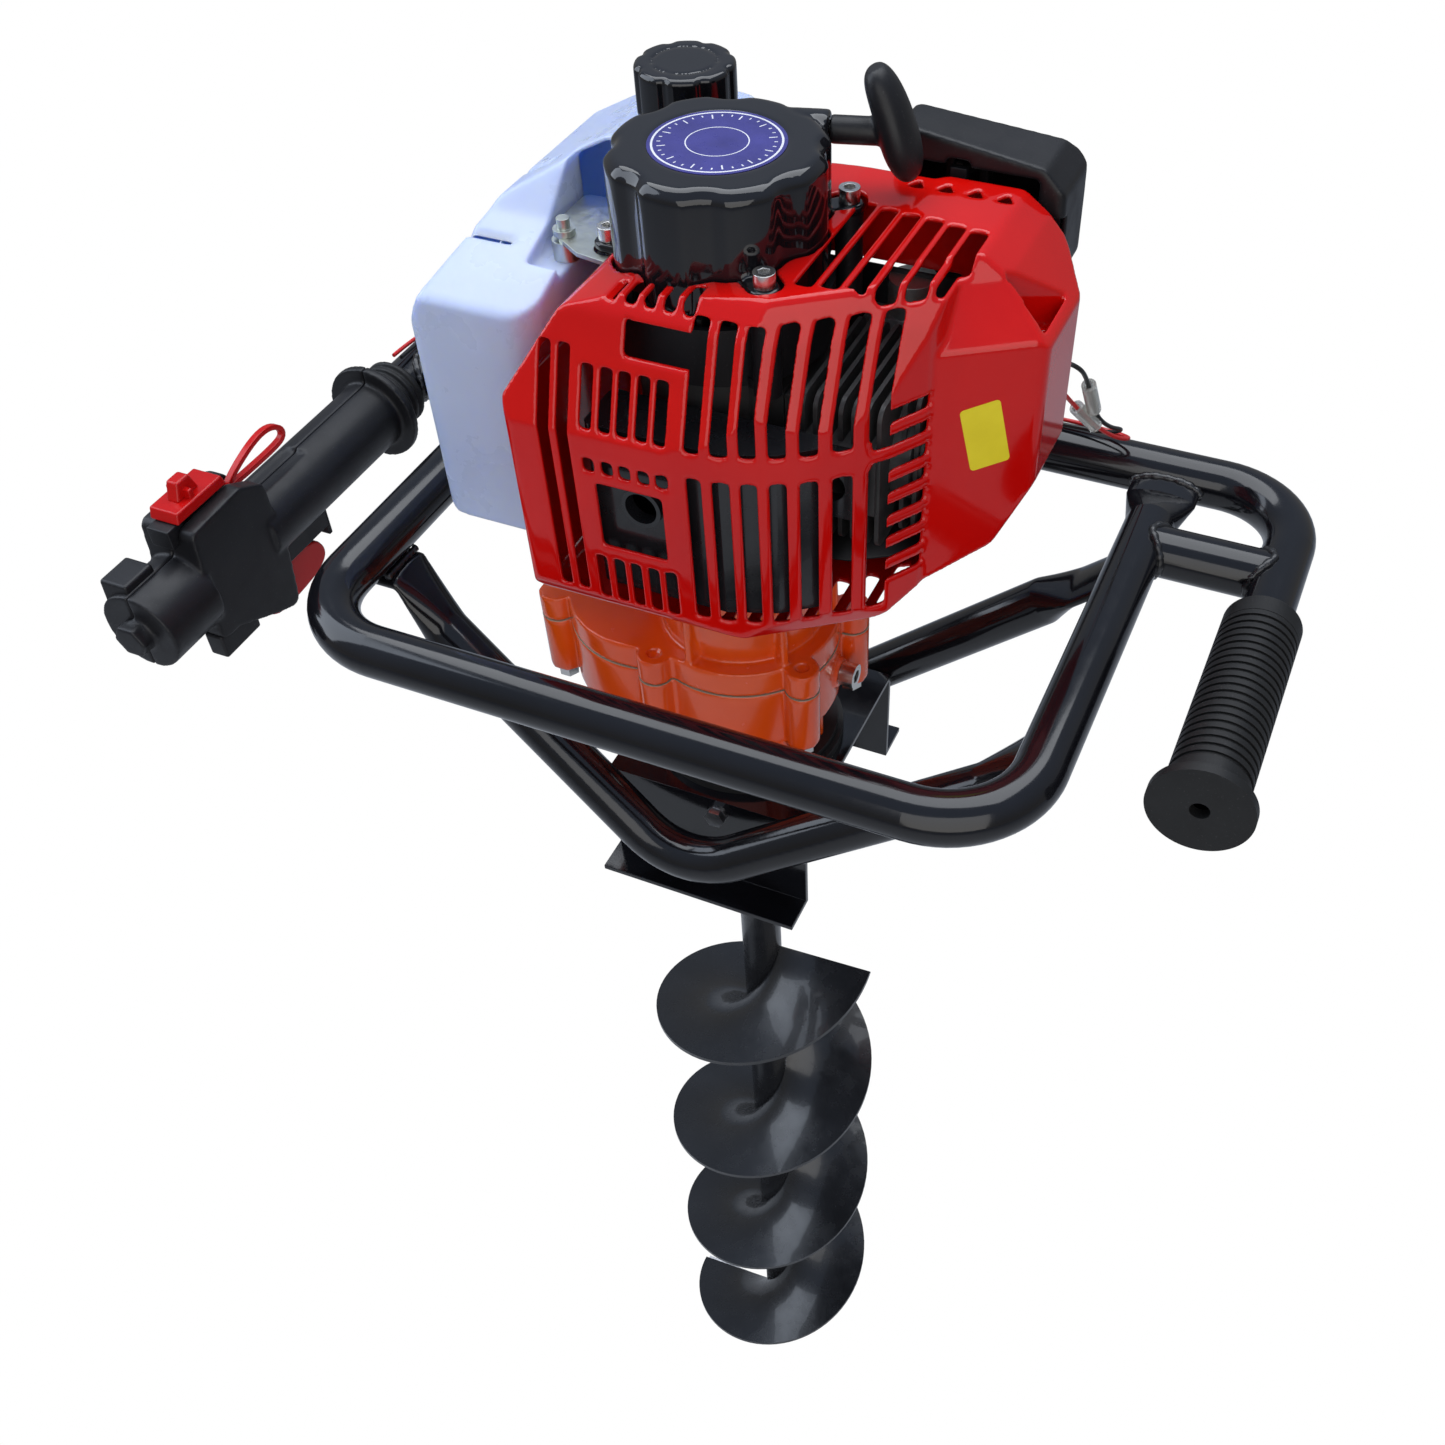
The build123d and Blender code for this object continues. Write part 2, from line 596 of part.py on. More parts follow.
def fan_housing():
    """Plate under the fan with its rim and the posts that carry the starter."""
    body = cyl(47, 131, 135) + (cyl(47, 131, 156.5) - cyl(44, 130, 161))
    body -= cyl(17 + SEAT, 130, 137)
    for x, y, z in STARTER_EARS:
        top = z - EAR_T if x > 0 else PLATE_Z[0] - SEAT
        post = cyl(6, 131, top, x, y) + cyl(6, 131, 135, 0.85 * x, 0.85 * y)
        body += post
        body -= cyl(2.8, 145, z, x, y)
    for angle in range(45, 405, 90):
        body -= Rot(0, 0, angle) * cyl(5 + SEAT, 130, 137, 36, 0)
    body -= cyl(FAN_R + 2, 136, 200)
    return body - box(-9, 25, 34, 60, 137, 153)


EAR_T = 4.0
PLATE_Z = (154.7, 156.7)
STARTER_EARS = [(-54.5, 0.0, 161.0), (37.0, -40.0, 178.0), (42.0, 36.0, 178.0)]


# ---------------------------------------------------------------- starter
def lobed(grow=0.0, base=44.0, swing=1.7):
    points = []
    for k in range(96):
        a = 2 * math.pi * k / 96
        r = base + grow + swing * math.tanh(2.2 * math.cos(8 * a + 0.6) + 1.2)
        points.append((r * math.cos(a), r * math.sin(a)))
    return make_face(Spline(*points, periodic=True))


def starter_cover():
    outer = prism_z(lobed(), 160.5, STARTER_TOP)
    top = [e for e in outer.edges() if e.center().Z > STARTER_TOP - 0.1]
    outer = chamfer(top, 3.5)
    body = outer - prism_z(lobed(-3.0), 159, STARTER_TOP - 3)
    for x, y, z in STARTER_EARS:
        a = math.atan2(y, x)
        r = math.hypot(x, y)
        arm = box(42, r, -6.5, 6.5, z - EAR_T, z) + cyl(6.5, z - EAR_T, z, r, 0)
        body += Rot(0, 0, math.degrees(a)) * arm - prism_z(lobed(-2), 150, 200)
        body -= cyl(2.8, z - 6, z + 1, x, y)
    exit_boss = pull_line(7.5, 20, 40.7) & cyl(60, ROPE_Z - 8, STARTER_TOP)
    body += exit_boss - prism_z(lobed(-2), 150, 220)
    body -= pull_line(3.2, 8, 44)
    body += cyl(5, 175, STARTER_TOP - 2)
    body -= cyl(28.2, STARTER_TOP - 0.8, STARTER_TOP + 1)
    return body


def starter_pulley():
    body = cyl(ROPE_PULL_R - ROPE_R, 196, 206.5) + cyl(36, 196, 198.5) + cyl(36, 205, 207)
    body += cyl(12, 178, 197)
    body -= cyl(5 + RUN, 170, 210)
    for angle in (0, 120, 240):
        body -= Rot(0, 0, angle) * cyl(4, 190, 210, 21, 0)
    return body


def recoil_spring():
    coils = []
    for k in range(6):
        r = 15 + 2.6 * k
        coils.append((cyl(r + 0.6, 184, 193) - cyl(r - 0.6, 183, 194)))
    joined = coils[0]
    for ring in coils[1:]:
        joined += ring
    return joined + box(13, 43.2, -0.8, 0.8, 184, 193) - cyl(13.5, 180, 196)


def pull_line(r, along0, along1):
    """Round bar on the line that the rope leaves by, measured from beside the axis."""
    return Rot(0, 0, PULL_TURN) * cyl_x(r, along0, along1, ROPE_PULL_R, ROPE_Z + 1)


def pull_handle():
    start = 41
    tilt = (0.34, 0, -0.94)
    spots = [
        (17.2, 26, 3, 4.5), (18.4, 23, 5.5, 8), (23, 13, 7.5, 11),
        (28, -1, 8.2, 12.5), (32.6, -14, 5.8, 8.5), (33.4, -17, 3, 4.5),
    ]
    sections = []
    for x, z, wide, deep in spots:
        plane = Plane(origin=(start + x, ROPE_PULL_R, ROPE_Z + z), x_dir=(0.94, 0, 0.34), z_dir=tilt)
        sections.append(plane * Ellipse(wide, deep))
    bar = loft(sections) + cyl_x(5.5, start, start + 25, ROPE_PULL_R, ROPE_Z + 1)
    bar -= cyl_x(ROPE_R + SEAT, start - 5, start + 20, ROPE_PULL_R, ROPE_Z + 1)
    return Rot(0, 0, PULL_TURN) * bar


def starter_bolts():
    return [Pos(x, y, z) * socket_bolt(2.5, 14, 4.6, 6) for x, y, z in STARTER_EARS]


def crank_bearings():
    low = cyl(13, 48, 58) - cyl(8 + RUN, 40, 60)
    high = cyl(13, 120, 130) - cyl(8 + RUN, 110, 140)
    return low, high


def ignition_coil():
    coil = fillet(box(-7, 23, 46, 58, 138, 151).edges().filter_by(Axis.Z), 3)
    legs = box(-5, 0, 40, 47, 139, 150) + box(16, 21, 36, 47, 139, 150)
    return coil + legs - cyl(FAN_R + 0.8, 130, 160)


# ---------------------------------------------------------------- shroud


FRONT_CURVE = [(5, -79), (28, -76.5), (47, -71), (64, -62), (79, -50.5), (91, -37), (100, -22.5), (103, -14)]


def front_y(x):
    """Where the curved front of the red cover is at this x."""
    points = [(-70, -79.5)] + FRONT_CURVE
    for (x0, y0), (x1, y1) in zip(points, points[1:]):
        if x <= x1:
            return y0 + (y1 - y0) * (x - x0) / (x1 - x0)
    return points[-1][1]


def shroud_block(i):
    """Outer shape of the red cover pushed in by i."""
    plan = [(-70, -79.5)] + FRONT_CURVE + [(103, 69), (-12, 69), (-12, 37), (-70, 37)]
    front = [(-72, 24), (86, 24), (104, 38), (104, 179), (38, 179), (-20, 172), (-44, 165), (-72, 123)]
    side = [(-74, 21), (-81, 36), (-81, 113), (-62, 166), (-50, 181), (72, 181), (72, 21)]
    corner = [(-78, 18), (-92, 46), (-92, 118), (-76, 164), (-66, 182), (160, 182), (160, 18)]
    fan_part = prism_z(inset(face_of(plan, 5), i), -10, 250)
    fan_part &= prism_y(inset(face_of(front, 12), i), -100, 100)
    fan_part &= prism_x(inset(face_of(side, 14), i), -100, 130)
    fan_part &= Rot(0, 0, 36) * prism_x(inset(face_of(corner, 12), i), -250, 250)
    plan = [(70, -39.7), (141, 7), (141, 52), (128, 69.5), (70, 69.5)]
    front = [(50, 36), (101, 36), (127, 52), (142, 84), (142, 146), (120, 171), (108, 179.5), (50, 179.5)]
    corner = [(-74, 0), (-74, 147), (-56, 170), (-48, 182), (200, 182), (200, 0)]
    plug_part = prism_z(inset(face_of(plan, 6), i), -10, 250)
    plug_part &= prism_y(inset(face_of(front, 9), i), -100, 100)
    plug_part &= Rot(0, 0, 33.4) * prism_x(inset(face_of(corner, 9), i), -250, 250)
    return fan_part + plug_part


def shroud():
    wall = 2.4
    outside = shroud_block(0)
    body = outside - shroud_block(wall)
    body -= prism_z(lobed(0.8), 150, 230)
    for x, y, z in STARTER_EARS:
        body -= cyl(7.5, z - 26, 230, x, y)
        body -= Rot(0, 0, math.degrees(math.atan2(y, x))) * box(30, math.hypot(x, y), -7.5, 7.5, z - 12, 230)
    body -= box(-90, -47.5, -13, 42, 153.5, 170)
    body -= cyl(49, 18, 60) + box(-60, -9, 28, 45, 30, 162) + cyl(47.8, 130, 157)
    for k in range(7):
        x = 18.6 + 11.3 * k
        y = front_y(x)
        body -= box(x - 3.2, x + 3.2, y - 10, y + 26, 34, 108)
        body -= box(x - 3.2, x + 3.2, y - 10, y + 30, 120, 171)
        body -= box(x - 3.0, x + 3.0, y + 12, y + 42, 15, 30)
    for k in range(5):
        x = -30.0 + 8.6 * k
        body -= box(x - 2.6, x + 2.6, -90, -60, 32, 56)
        body -= box(x - 2.6, x + 2.6, -90, -60, 100, 107)
        body -= box(x - 2.6, x + 2.6, -90, -56, 120, 146)
        body -= box(x + 5.4, x + 10.6, -66, -44, 169.5, 182)
    body -= box(-28, 4, -90, -66, 62, 95)
    body -= box(-14, 20, -90, -56, 151, 165)
    for x in (-50, -41):
        body -= box(x - 2.6, x + 2.6, -90, -52, 34, 152)
    for k in range(6):
        x = 51 + 10.2 * k
        body -= box(x - 3.5, x + 3.5, -36 + 2.5 * k, 36 - 1.5 * k, 172, 190)
    for k in range(8):
        z = 50 + 11.5 * k
        body -= box(84, 112, -49, -19, z - 2.8, z + 2.8)
    for k in range(4):
        tri = face_of([(60 + 13 * k, 55), (68 + 13 * k, 55), (64 + 13 * k, 62)])
        body -= prism_z(tri, 170, 190)
    recess = face_of([(117, 13), (137, 43), (137, 11)])
    cup = prism_z(offset(recess, 2.2), 137, 200) - prism_z(recess, 139.2, 210)
    body = body - prism_z(recess, 139.2, 210) + (cup & outside)
    body -= cyl_y(15, 60, 80, 62, BORE_Z)
    body -= box(20, 84, 60, 75, 66, 137)
    return largest(body)


# ---------------------------------------------------------------- fuel and air
def tank_block(i):
    plan = [(-143, -42), (-74, -42), (-74, 42), (-25, 42), (-25, 105), (-143, 105)]
    side_xz = [(-145, 24), (-20, 24), (-20, 184), (-75, 184), (-118, 162), (-145, 116)]
    side_yz = [(-44, 20), (-44, 140), (10, 158), (42, 186), (108, 186), (108, 20)]
    body = prism_z(inset(face_of(plan, 14), i), 0, 250)
    body &= prism_y(inset(face_of(side_xz, 12), i), -100, 200)
    return body & prism_x(inset(face_of(side_yz, 10), i), -200, 50)


def fuel_tank():
    neck = cyl(18, 170, 196, -46, 65)
    body = tank_block(0) + neck - tank_block(2.2) - cyl(15.5, 160, 200, -46, 65)
    for y in (-6, 36):
        groove = box(-150, -100, y, y + 5, 100, 200) - tank_block(1.4)
        body -= groove
    body -= box(-90, -47, -13, 41.7, 146, 200)
    roof = tank_block(0) & box(-90.5, -74, -15, 42, 143.6, 146)
    roof += tank_block(0) & (box(-92.2, -90, -15.2, 42, 143.6, 200) + box(-92.2, -74, -15.2, -13, 143.6, 200))
    body += roof
    return largest(body)


def fuel_cap():
    points = []
    for k in range(96):
        a = 2 * math.pi * k / 96
        r = 22.2 - 1.6 * max(0.0, math.cos(8 * a)) ** 3
        points.append((r * math.cos(a), r * math.sin(a)))
    solid = Pos(-46, 65) * make_face(Spline(*points, periodic=True))
    body = prism_z(solid, 190, 211)
    top = [e for e in body.edges() if e.center().Z > 210.9]
    body = chamfer(top, 1.5)
    body -= cyl(18 + SEAT, 185, 196 + SEAT, -46, 65)
    body -= cyl(15, 210.2, 212, -46, 65) - cyl(13.6, 210, 212, -46, 65)
    return body + cyl(14.8, 186, 197, -46, 65) - cyl(12, 185, 194, -46, 65)


def tank_plate():
    outline = [(-88, 40), (-88, 16), (-80, 0), (-66, -9), (-49, -12), (-48.5, 12), (-56, 30), (-60, 40)]
    plate = prism_z(face_of(outline, 3), *PLATE_Z)
    plate -= cyl(7, 150, 165, -54.5, 0)
    return plate - cyl(3.1, 150, 165, -79, 4) - cyl(3.1, 150, 165, -66, 33)


def tank_studs():
    parts = []
    for x, y in ((-79, 4), (-66, 33)):
        parts.append(cyl(3, 148.3, 164, x, y) + cyl(5, PLATE_Z[1], 159.5, x, y))
    return parts


def tank_grommets():
    return [cyl(6, 146, PLATE_Z[0], x, y) - cyl(3.1, 140, 170, x, y) for x, y in ((-79, 4), (-66, 33))]


def filter_block(i):
    front = [(46, 132), (46, 195.5), (114, 186), (124, 176), (125, 134)]
    plan = [(46, 74), (125, 74), (125, 110), (46, 114)]
    side = [(70, 120), (70, 205), (78, 205), (96, 196), (113, 178), (120, 120)]
    body = prism_z(inset(face_of(plan, 5), i), 0, 300) & prism_y(inset(face_of(front, 6), i), 0, 200)
    return body & prism_x(inset(face_of(side, 5), i), 0, 200)


def filter_cover():
    body = filter_block(0) - filter_block(2.4) - box(40, 140, 70, 80, 100, 166)
    body -= box(54, 112, 70, 84, 169, 181)
    for x in (66, 81.5):
        body += filter_block(1) & box(x, x + 4.5, 88, 96, 165, 205)
    body -= cyl_x(2 + RUN, 60, 90, 92, 174) + box(71, 81.4, 70, 98, 165, 184)
    return largest(body)


def filter_base():
    plate = (filter_block(2.8) & box(40, 140, 80, 84, 100, 165)) - cyl_y(13, 60, 120, 84, 150)
    return largest(plate)


def filter_element():
    return (filter_block(4.5) & box(56, 119, 84, 104, 138, 160)) - box(64, 87, 80, 104, 158, 190)


def intake():
    block = box(46, 78, 38 + SEAT, 52, 82, 110) - cyl_y(7, 30, 60, 62, BORE_Z)
    return block


def carburettor():
    body = fillet(box(42, 82, 52 + SEAT, 76, 74, 118).edges().filter_by(Axis.Y), 3)
    body += box(46, 78, 76, 82, 80, 112) + cyl(11, 118, 134, 62, 64) + cyl(8, 66, 74, 62, 64)
    body -= cyl_y(7, 50, 90, 62, BORE_Z)
    return body


def intake_elbow():
    body = box(44, 80, 82 + SEAT, 100, 80, 112) + box(56, 100, 84 + SEAT, 100, 112, 131.7)
    return body - cyl_y(7, 80, 94, 62, BORE_Z) - box(60, 76, 88, 96, 90, 140)


# ---------------------------------------------------------------- throttle handle
def handle_block():
    x = -ARM_X
    body = cyl_y(19, -70, 46, x, 0) + cyl_y(27, 45, 50, x, 0)
    side = [(-124, -26), (-118, 36), (-80, 38), (-64, 30), (-62, -16), (-66, -46), (-82, -40), (-110, -27)]
    body += prism_x(face_of(side, 5), x - 16, x + 16)
    body += cyl_y(21, -155, -118, x, 0)
    return body


def handle_half(sign):
    x = -ARM_X
    keep = box(x, x + 40, -200, 100, -80, 80) if sign > 0 else box(x - 40, x, -200, 100, -80, 80)
    body = handle_block() & keep
    body -= cyl_y(TUBE_R + SEAT, LEFT_ARM_END - SEAT, 60, x, 0)
    body -= cyl_y(4.3, -160, -140, x, 0)
    body -= box(x - 11, x + 11, -114, -68, 16, 32)
    body -= box(x - 6.5, x + 6.5, -120, -68, 30, 45)
    body -= box(x - 6.5, x + 6.5, -90, -20, -70, -14)
    body -= box(x - 6.5, x + 6.5, -78, -20, 17, 45)
    body -= cyl_x(3 + RUN, x - 11, x + 11, -74, -25) + cyl_x(2.5 + RUN, x - 11, x + 11, -72, 26)
    return largest(body)


def trigger():
    x = -ARM_X
    side = [(-80, -20), (-67, -20), (-50, -30), (-31, -46), (-31, -54), (-50, -50), (-58, -64), (-76, -62),
            (-80, -40)]
    return prism_x(face_of(side, 2), x - 5.5, x + 5.5) + cyl_x(3, x - 10.5, x + 10.5, -74, -25)


def lockout():
    x = -ARM_X
    side = [(-76, 22), (-68, 22), (-60, 33), (-30, 33), (-29, 38), (-34, 50), (-44, 53), (-58, 47), (-76, 32)]
    return prism_x(face_of(side, 2), x - 5.5, x + 5.5) + cyl_x(2.5, x - 10.5, x + 10.5, -72, 26)


def stop_switch():
    x = -ARM_X
    side = [(-116, 38.8), (-118, 46), (-106, 58), (-92, 58), (-80, 44), (-80, 38.8)]
    body = prism_x(face_of(side, 1.5), x - 9, x + 9) + cyl(5, 57, 62, x, -99)
    return body + box(x - 5.5, x + 5.5, -108, -90, 34, 39)


def end_bolt():
    return Pos(-ARM_X, -155.2, 0) * Rot(90, 0, 0) * hex_bolt(4, 12, 16, 6, 2)


def sleeve():
    """Corrugated sleeve over the arm behind the grip."""
    x = -ARM_X
    body = cyl_y(16.5, 50 + SEAT, 72, x, 0)
    for k in range(4):
        y = 50 + SEAT + 5.5 * k
        body += cyl_y(18.5, y, y + 3, x, 0)
    return body - cyl_y(TUBE_R + SEAT, 40, 80, x, 0)


def choke_lever():
    lever = box(74.5, 77.5, 77, 94, 171, 177) + cyl_x(2, 66.3, 85.7, 92, 174)
    return lever + box(72.5, 79.8, 75.5, 79, 169, 180)


# ---------------------------------------------------------------- leads
def lead(name, route, factor=0.45):
    radii = []
    for a, b, c in zip(route, route[1:], route[2:]):
        u, v = Vector(*b) - Vector(*a), Vector(*c) - Vector(*b)
        turn = math.radians(u.get_angle(v))
        radii.append(round(factor * min(u.length, v.length) / math.tan(turn / 2), 2))
    print(name, "radii", radii)
    path = FilletPolyline(*route, radius=radii)
    section = Plane(origin=path @ 0, z_dir=path % 0) * Circle(LEAD_R)
    return sweep(section, path=path)


LEAD_R = 1.1


BLACK_ROUTE = [
    (124, 84, 92), (137, 88, 92), (139, 101, 78), (142, 116, 51), (147, 130, 36), (153, 146, 26), (143, 153, 17),
    (117, 156, 14.6), (66, 153, 14.6), (14, 156, 14.6), (-40, 153, 14.6), (-94, 156, 14.6), (-148, 154, 14.6),
    (-200, 155, 14.6), (-238, 141, 14.6), (-250, 104, 14.6), (-247, 78, 17.2),
]
RED_ROUTE = [
    (122, 88, 82), (130, 94, 73), (132, 107, 60), (144, 122, 39), (152, 137, 26), (157, 150, 19), (144, 158, 15.4),
    (117, 161, 14.4), (66, 158, 14.6), (14, 161, 14.4), (-40, 158, 14.6), (-94, 161, 14.4), (-148, 159, 14.6),
    (-202, 160, 14.4), (-243, 144, 14.6), (-254, 104, 14.6), (-252, 78, 17.2),
]


def connectors():
    """Two clear sleeves, each over the straight run of its lead."""
    parts = []
    for a, b in ((BLACK_ROUTE[2], BLACK_ROUTE[3]), (RED_ROUTE[2], RED_ROUTE[3])):
        start, way = Vector(*a), Vector(*b) - Vector(*a)
        at = Plane(origin=start + way * 0.14, z_dir=way)
        sleeve_ring = at * (Circle(3.6) - Circle(LEAD_R + 0.9))
        parts.append(extrude(sleeve_ring, way.length * 0.72))
    return parts


if __name__ == "__main__":
    save("front_loop_tube", front_loop())
    save("handlebar_tube", handlebar())
    save("handlebar_struts", *struts())
    save("front_v_brace", front_brace())
    save("rear_v_brace", rear_brace())
    save("foot_bracket", foot_bracket())
    save("bracket_bolts", *brace_bolts(), *base_bolts())
    save("right_grip", right_grip())
    save("gearbox_upper_case", upper_case())
    save("gearbox_lower_case", lower_case())
    save("gearbox_gasket", gasket())
    save("gearbox_bolts", *case_bolts(), side_plug())
    save("gearbox_base_ring", base_ring())
    save("shaft_bearings", *output_bearings(), *lay_bearings(), drum_bearing(), *crank_bearings())
    save("output_shaft", output_shaft())
    save("output_gear", spoked_wheel(*STAGE_TWO, 0, 180 / WHEEL_TEETH, OUT_R + RUN))
    save("lay_shaft", lay_shaft())
    save("lay_gear", spoked_wheel(*STAGE_ONE, LAY_X, 180 / WHEEL_TEETH, 5 + RUN))
    save("clutch_drum", clutch_drum())
    save("clutch_rotor", clutch_rotor(), *clutch_shoes())
    save("auger_shaft", auger_shaft())
    save("coupling_pin", coupling_pin())
    save("auger_flight", flight())
    save("pilot_point", pilot())
    save("cutting_blade", cutter())
    save("crankcase_lower", crankcase_lower())
    save("crankcase_upper", crankcase_upper())
    save("crankshaft", *crankshaft())
    save("connecting_rod", *connecting_rod())
    save("piston", *piston())
    save("engine_cylinder", cylinder())
    save("spark_plug", spark_plug())
    save("plug_boot", plug_boot())
    save("muffler", muffler())
    save("flywheel_fan", fan())
    save("fan_housing", fan_housing())
    save("ignition_coil", ignition_coil())
    save("engine_shroud", shroud())
    save("starter_cover", starter_cover())
    save("starter_bolts", *starter_bolts())
    save("starter_badge", cyl(28, STARTER_TOP - 0.8, STARTER_TOP - 0.1))
    save("starter_pulley", starter_pulley())
    save("recoil_spring", recoil_spring())
    save("pull_handle", pull_handle())
    save("fuel_tank", fuel_tank())
    save("fuel_cap", fuel_cap())
    save("tank_plate", tank_plate(), *tank_studs(), *tank_grommets())
    save("carburettor", carburettor(), intake())
    save("air_filter_base", filter_base(), intake_elbow())
    save("air_filter_cover", filter_cover(), filter_element())
    save("choke_lever", choke_lever())
    save("throttle_handle_left", handle_half(-1))
    save("throttle_handle_right", handle_half(1), end_bolt())
    save("sleeve", sleeve())
    save("throttle_trigger", trigger())
    save("lockout_lever", lockout())
    save("stop_switch", stop_switch())
    save("black_lead", lead("black_lead", BLACK_ROUTE))
    save("red_lead", lead("red_lead", RED_ROUTE))
    save("bullet_connectors", *connectors())
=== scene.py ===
import bpy
import json
import math
from mathutils import Matrix, Vector

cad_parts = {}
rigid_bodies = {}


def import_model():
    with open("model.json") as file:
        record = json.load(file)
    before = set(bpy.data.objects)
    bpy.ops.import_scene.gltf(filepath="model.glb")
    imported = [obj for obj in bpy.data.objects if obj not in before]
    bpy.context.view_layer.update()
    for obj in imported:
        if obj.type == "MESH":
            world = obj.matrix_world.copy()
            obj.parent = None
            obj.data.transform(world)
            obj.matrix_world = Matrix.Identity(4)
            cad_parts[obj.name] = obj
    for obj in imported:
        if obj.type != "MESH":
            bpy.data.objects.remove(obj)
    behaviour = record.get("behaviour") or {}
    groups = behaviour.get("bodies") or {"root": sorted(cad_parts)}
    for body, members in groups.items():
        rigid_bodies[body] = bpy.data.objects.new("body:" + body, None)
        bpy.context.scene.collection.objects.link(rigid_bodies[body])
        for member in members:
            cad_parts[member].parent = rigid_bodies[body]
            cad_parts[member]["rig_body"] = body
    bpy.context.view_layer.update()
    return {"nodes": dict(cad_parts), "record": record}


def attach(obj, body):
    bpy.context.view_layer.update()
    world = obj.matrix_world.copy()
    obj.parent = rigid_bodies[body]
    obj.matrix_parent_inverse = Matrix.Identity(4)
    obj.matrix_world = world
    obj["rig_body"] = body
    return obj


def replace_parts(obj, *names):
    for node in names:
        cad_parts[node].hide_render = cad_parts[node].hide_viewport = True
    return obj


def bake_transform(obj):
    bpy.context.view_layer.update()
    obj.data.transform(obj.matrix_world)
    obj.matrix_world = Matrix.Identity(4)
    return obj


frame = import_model()

# Sizes below are millimetres about the auger axis, with z = 0 in the frame tubes' centre plane.
# LIFT is that plane's height above the drill point in metres. The others are part.py's own values.
LIFT = 0.885
RAIL_X = 180
ARM_X = 249
REAR_Y = 154.6
STRUT_Y = 89
REAR_BRACE_Y = 81
REAR_SLOPE = 0.87
ROPE_PULL_R = 31.2
PULL_TURN = 14.6


def mm(x, y, z):
    """A place in millimetres about the frame's plane, in the scene's metres."""
    return Vector((x / 1000, y / 1000, z / 1000 + LIFT))


# ---------------------------------------------------------------- materials
class Maker:
    """A small wrapper that adds and links shader nodes."""

    def __init__(self, name):
        self.mat = bpy.data.materials.new(name)
        self.mat.use_nodes = True
        self.tree = self.mat.node_tree
        self.bsdf = self.tree.nodes["Principled BSDF"]
        self.coord = self.tree.nodes.new("ShaderNodeTexCoord")

    def node(self, kind, **values):
        n = self.tree.nodes.new(kind)
        for key, value in values.items():
            if key in n.inputs:
                n.inputs[key].default_value = value
            else:
                setattr(n, key, value)
        return n

    def link(self, a, b):
        self.tree.links.new(a, b)

    def noise(self, scale, detail=4.0, rough=0.55, stretch=(1, 1, 1)):
        mapping = self.node("ShaderNodeMapping")
        mapping.inputs["Scale"].default_value = stretch
        self.link(self.coord.outputs["Object"], mapping.inputs["Vector"])
        n = self.node("ShaderNodeTexNoise", Scale=scale, Detail=detail, Roughness=rough)
        self.link(mapping.outputs["Vector"], n.inputs["Vector"])
        return n.outputs["Fac"]

    def ramp(self, fac, stops):
        r = self.node("ShaderNodeValToRGB")
        while len(r.color_ramp.elements) < len(stops):
            r.color_ramp.elements.new(0.5)
        for e, (pos, value) in zip(r.color_ramp.elements, stops):
            e.position = pos
            e.color = (*value, 1) if hasattr(value, "__len__") else (value, value, value, 1)
        self.link(fac, r.inputs["Fac"])
        return r.outputs["Color"]

    def bump(self, height, strength, distance):
        b = self.node("ShaderNodeBump", Strength=strength, Distance=distance)
        self.link(height, b.inputs["Height"])
        if self.bsdf.inputs["Normal"].links:
            self.link(self.bsdf.inputs["Normal"].links[0].from_socket, b.inputs["Normal"])
        self.link(b.outputs["Normal"], self.bsdf.inputs["Normal"])


SPECK_SCALE = 900
SPECK_SHARE = 0.35
COAT_ROUGH = 0.04


def finish(name, dark, light, rough, metal=0.0, coat=0.0, grain=220.0, bump=0.12, bump_mm=0.05,
           patch=14.0, ior=1.5, stretch=(1, 1, 1), speck=None):
    """Two-tone procedural finish: colour drift, uneven gloss, fine grain, optional dust specks."""
    m = Maker(name)
    colour = m.ramp(m.noise(patch), [(0.3, dark), (0.7, light)])
    if speck:
        dots = m.ramp(m.noise(SPECK_SCALE, 2), [(0.66, 0.0), (0.74, 1.0)])
        mix = m.node("ShaderNodeMix", data_type="RGBA")
        mix.inputs[7].default_value = (*speck, 1)
        scaled = m.node("ShaderNodeMath", operation="MULTIPLY")
        scaled.inputs[1].default_value = SPECK_SHARE
        m.link(dots, scaled.inputs[0])
        m.link(scaled.outputs[0], mix.inputs[0])
        m.link(colour, mix.inputs[6])
        colour = mix.outputs[2]
    m.link(colour, m.bsdf.inputs["Base Color"])
    gloss = m.ramp(m.noise(patch * 5, 6), [(0.25, rough[0]), (0.75, rough[1])])
    m.link(gloss, m.bsdf.inputs["Roughness"])
    m.bump(m.noise(grain, 3, 0.6, stretch), bump, bump_mm / 1000)
    m.bsdf.inputs["Metallic"].default_value = metal
    m.bsdf.inputs["IOR"].default_value = ior
    m.bsdf.inputs["Coat Weight"].default_value = coat
    m.bsdf.inputs["Coat Roughness"].default_value = COAT_ROUGH
    return m


